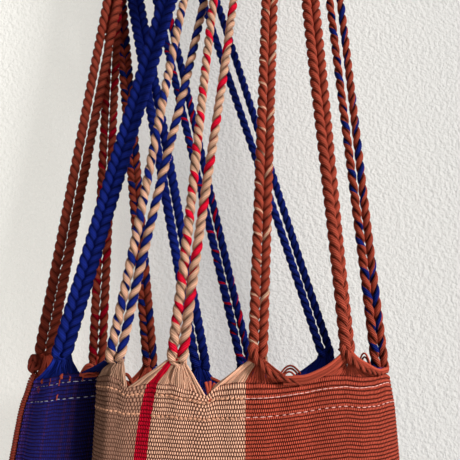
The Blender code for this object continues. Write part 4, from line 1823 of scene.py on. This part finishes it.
def trefoil(swing):
    """A closed loop that crosses itself three times, swung round the upright axis by some radians."""
    points = []
    for k in range(KNOT_STEPS + 1):
        turn = math.tau * k / KNOT_STEPS
        reach = KNOT_RADIUS * (0.66 + 0.4 * math.cos(3 * turn))
        x, y = reach * math.cos(2 * turn), KNOT_RADIUS * 0.5 * math.sin(3 * turn)
        points.append(knot_middle + Vector((
            x * math.cos(swing) - y * math.sin(swing),
            x * math.sin(swing) + y * math.cos(swing),
            reach * math.sin(2 * turn) * 1.5,
        )))
    return yarn(points, KNOT_YARN, swing)


seam_knot = spin_yarns("knot_loops", [trefoil(swing) for swing in KNOT_SWINGS], SEAM_YARN, 8)
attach(seam_knot, "root")
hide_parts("seam_knot")

# %% [markdown]
# ## Machine stitches
#
# Two rows of stitches run round below the edge and hold the hem. The thread is white on the blue
# stripe in front, tan and thick on the tan ones, and pale elsewhere. On the front's rust stripe the
# stitches of the upper row are so long that they nearly touch. A stitch is a small lens that lies
# along the row, so one tree puts a lens at every step of a path and gives each its own length.

# %% Tree of a row of stitches
LONGEST = 1.1  # share of the length given that a stitch may have
LENS = {"Segments": 6, "Rings": 6, "Radius": 0.5}


def stitch_shape():
    """A lens at every step of a path."""
    sizes = [(label, "Float") for label in ("Pitch", "Length", "Shortest", "Thickness")]
    inputs = [*sizes, ("Seed", "Int"), ("Material", "Material")]
    bench, given = new_shape("stitches along a path", inputs)
    curve = bench.add("GeometryNodeMeshToCurve", None, {"Mesh": given["Geometry"]})
    sockets = {"Curve": curve, "Length": given["Pitch"]}
    points = bench.add("GeometryNodeCurveToPoints", {"mode": "LENGTH"}, sockets)
    lens = bench.add("GeometryNodeMeshUVSphere", None, LENS)
    sockets = {2: given["Shortest"], 3: LONGEST, "Seed": given["Seed"]}
    chance = bench.add("FunctionNodeRandomValue", {"data_type": "FLOAT"}, sockets)
    thick, length = given["Thickness"], given["Length"] * chance
    size = bench.add("ShaderNodeCombineXYZ", None, {0: thick, 1: thick, 2: length})
    turned = points.other("Rotation")
    sockets = {"Points": points, "Instance": lens, "Rotation": turned, "Scale": size}
    rows = bench.add("GeometryNodeInstanceOnPoints", None, sockets)
    rows = bench.add("GeometryNodeRealizeInstances", None, {"Geometry": rows})
    rows = bench.add("GeometryNodeSetShadeSmooth", None, {"Geometry": rows})
    sockets = {"Geometry": rows, "Material": given["Material"]}
    return hand_out(bench, bench.add("GeometryNodeSetMaterial", None, sockets))


STITCH_SHAPE = stitch_shape()
print("stitch tree:", len(STITCH_SHAPE.nodes), "nodes")

# %% [markdown]
# ## Rows of stitches
#
# A row is given by where it starts and ends along the cloth and by its depth at both ends. Its
# path lies on the ribs, just over their tops, so that no stitch sinks into the cloth.

# %% Rows of stitches
Row = namedtuple("Row", "start end first last")  # along the cloth, and its depth at both ends, in mm
LONG_ROWS = (Row(162, 258, 6.1, 4.6),)
WHITE_ROWS = (Row(3, 61, 4.5, 4.5), Row(3, 60, 13.5, 13.5))
PALE_ROWS = (
    Row(158, 260, 15.2, 14.6),
    Row(264, 425, 4.5, 4.5),
    Row(264, 425, 15, 15),
    Row(430, 521, 4.5, 4.5),
    Row(430, 521, 15, 15),
)
TAN_ROWS = (
    Row(64, 95, 4.6, 4.6),
    Row(105, 158, 4.8, 6),
    Row(64, 95, 15, 15),
    Row(105, 158, 15.4, 15.4),
)
STITCH_LIFT = 0.1 * MM  # over the tops of the ribs


def stitch_row(row):
    """A path on the outside of the cloth."""
    points = []
    for k in range(row.start, row.end + 1):
        down = mix(row.first, row.last, (k - row.start) / (row.end - row.start)) * MM
        out = WOVEN_THICKNESS / 2 + rib(down) + STITCH_LIFT
        points.append(woven_point(k, down) + outward_at(k, down) * out)
    return {"points": points}


def sew(name, rows, material, pitch, length, shortest, thickness, seed):
    """One piece of all the stitches on the rows, sizes in mm."""
    thread = place_object(name, path_mesh(name, [stitch_row(row) for row in rows], {}))
    sizes = {"Pitch": pitch * MM, "Length": length * MM, "Thickness": thickness * MM}
    chance = {"Shortest": shortest, "Seed": seed}
    make_plain(thread, STITCH_SHAPE, {**sizes, **chance, "Material": material})
    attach(thread, "root")
    print(name, len(thread.data.polygons), "faces")


PALE_THREAD = yarn_finish("pale_thread", COTTON["pale"])
WHITE_THREAD = yarn_finish("white_thread", linear(186, 186, 206))
TAN_THREAD = yarn_finish("tan_thread", linear(206, 152, 122))
HEM = {"pitch": 4.0, "length": 3.2, "shortest": 0.45, "thickness": 0.6}
LONG = {"pitch": 3.4, "length": 3.4, "shortest": 0.9, "thickness": 0.56}
THICK = {"pitch": 2.6, "length": 2.9, "shortest": 0.45, "thickness": 1.5}
sew("long_stitches", LONG_ROWS, PALE_THREAD, **LONG, seed=2)
sew("hem_stitches", PALE_ROWS, PALE_THREAD, **HEM, seed=3)
sew("white_stitches", WHITE_ROWS, WHITE_THREAD, **HEM, seed=4)
sew("tan_stitches", TAN_ROWS, TAN_THREAD, **THICK, seed=5)

# %% [markdown]
# ## Sizes
#
# The box round the finished bag should be the box round the plain solids, give or take what cloth
# and yarn stand proud.
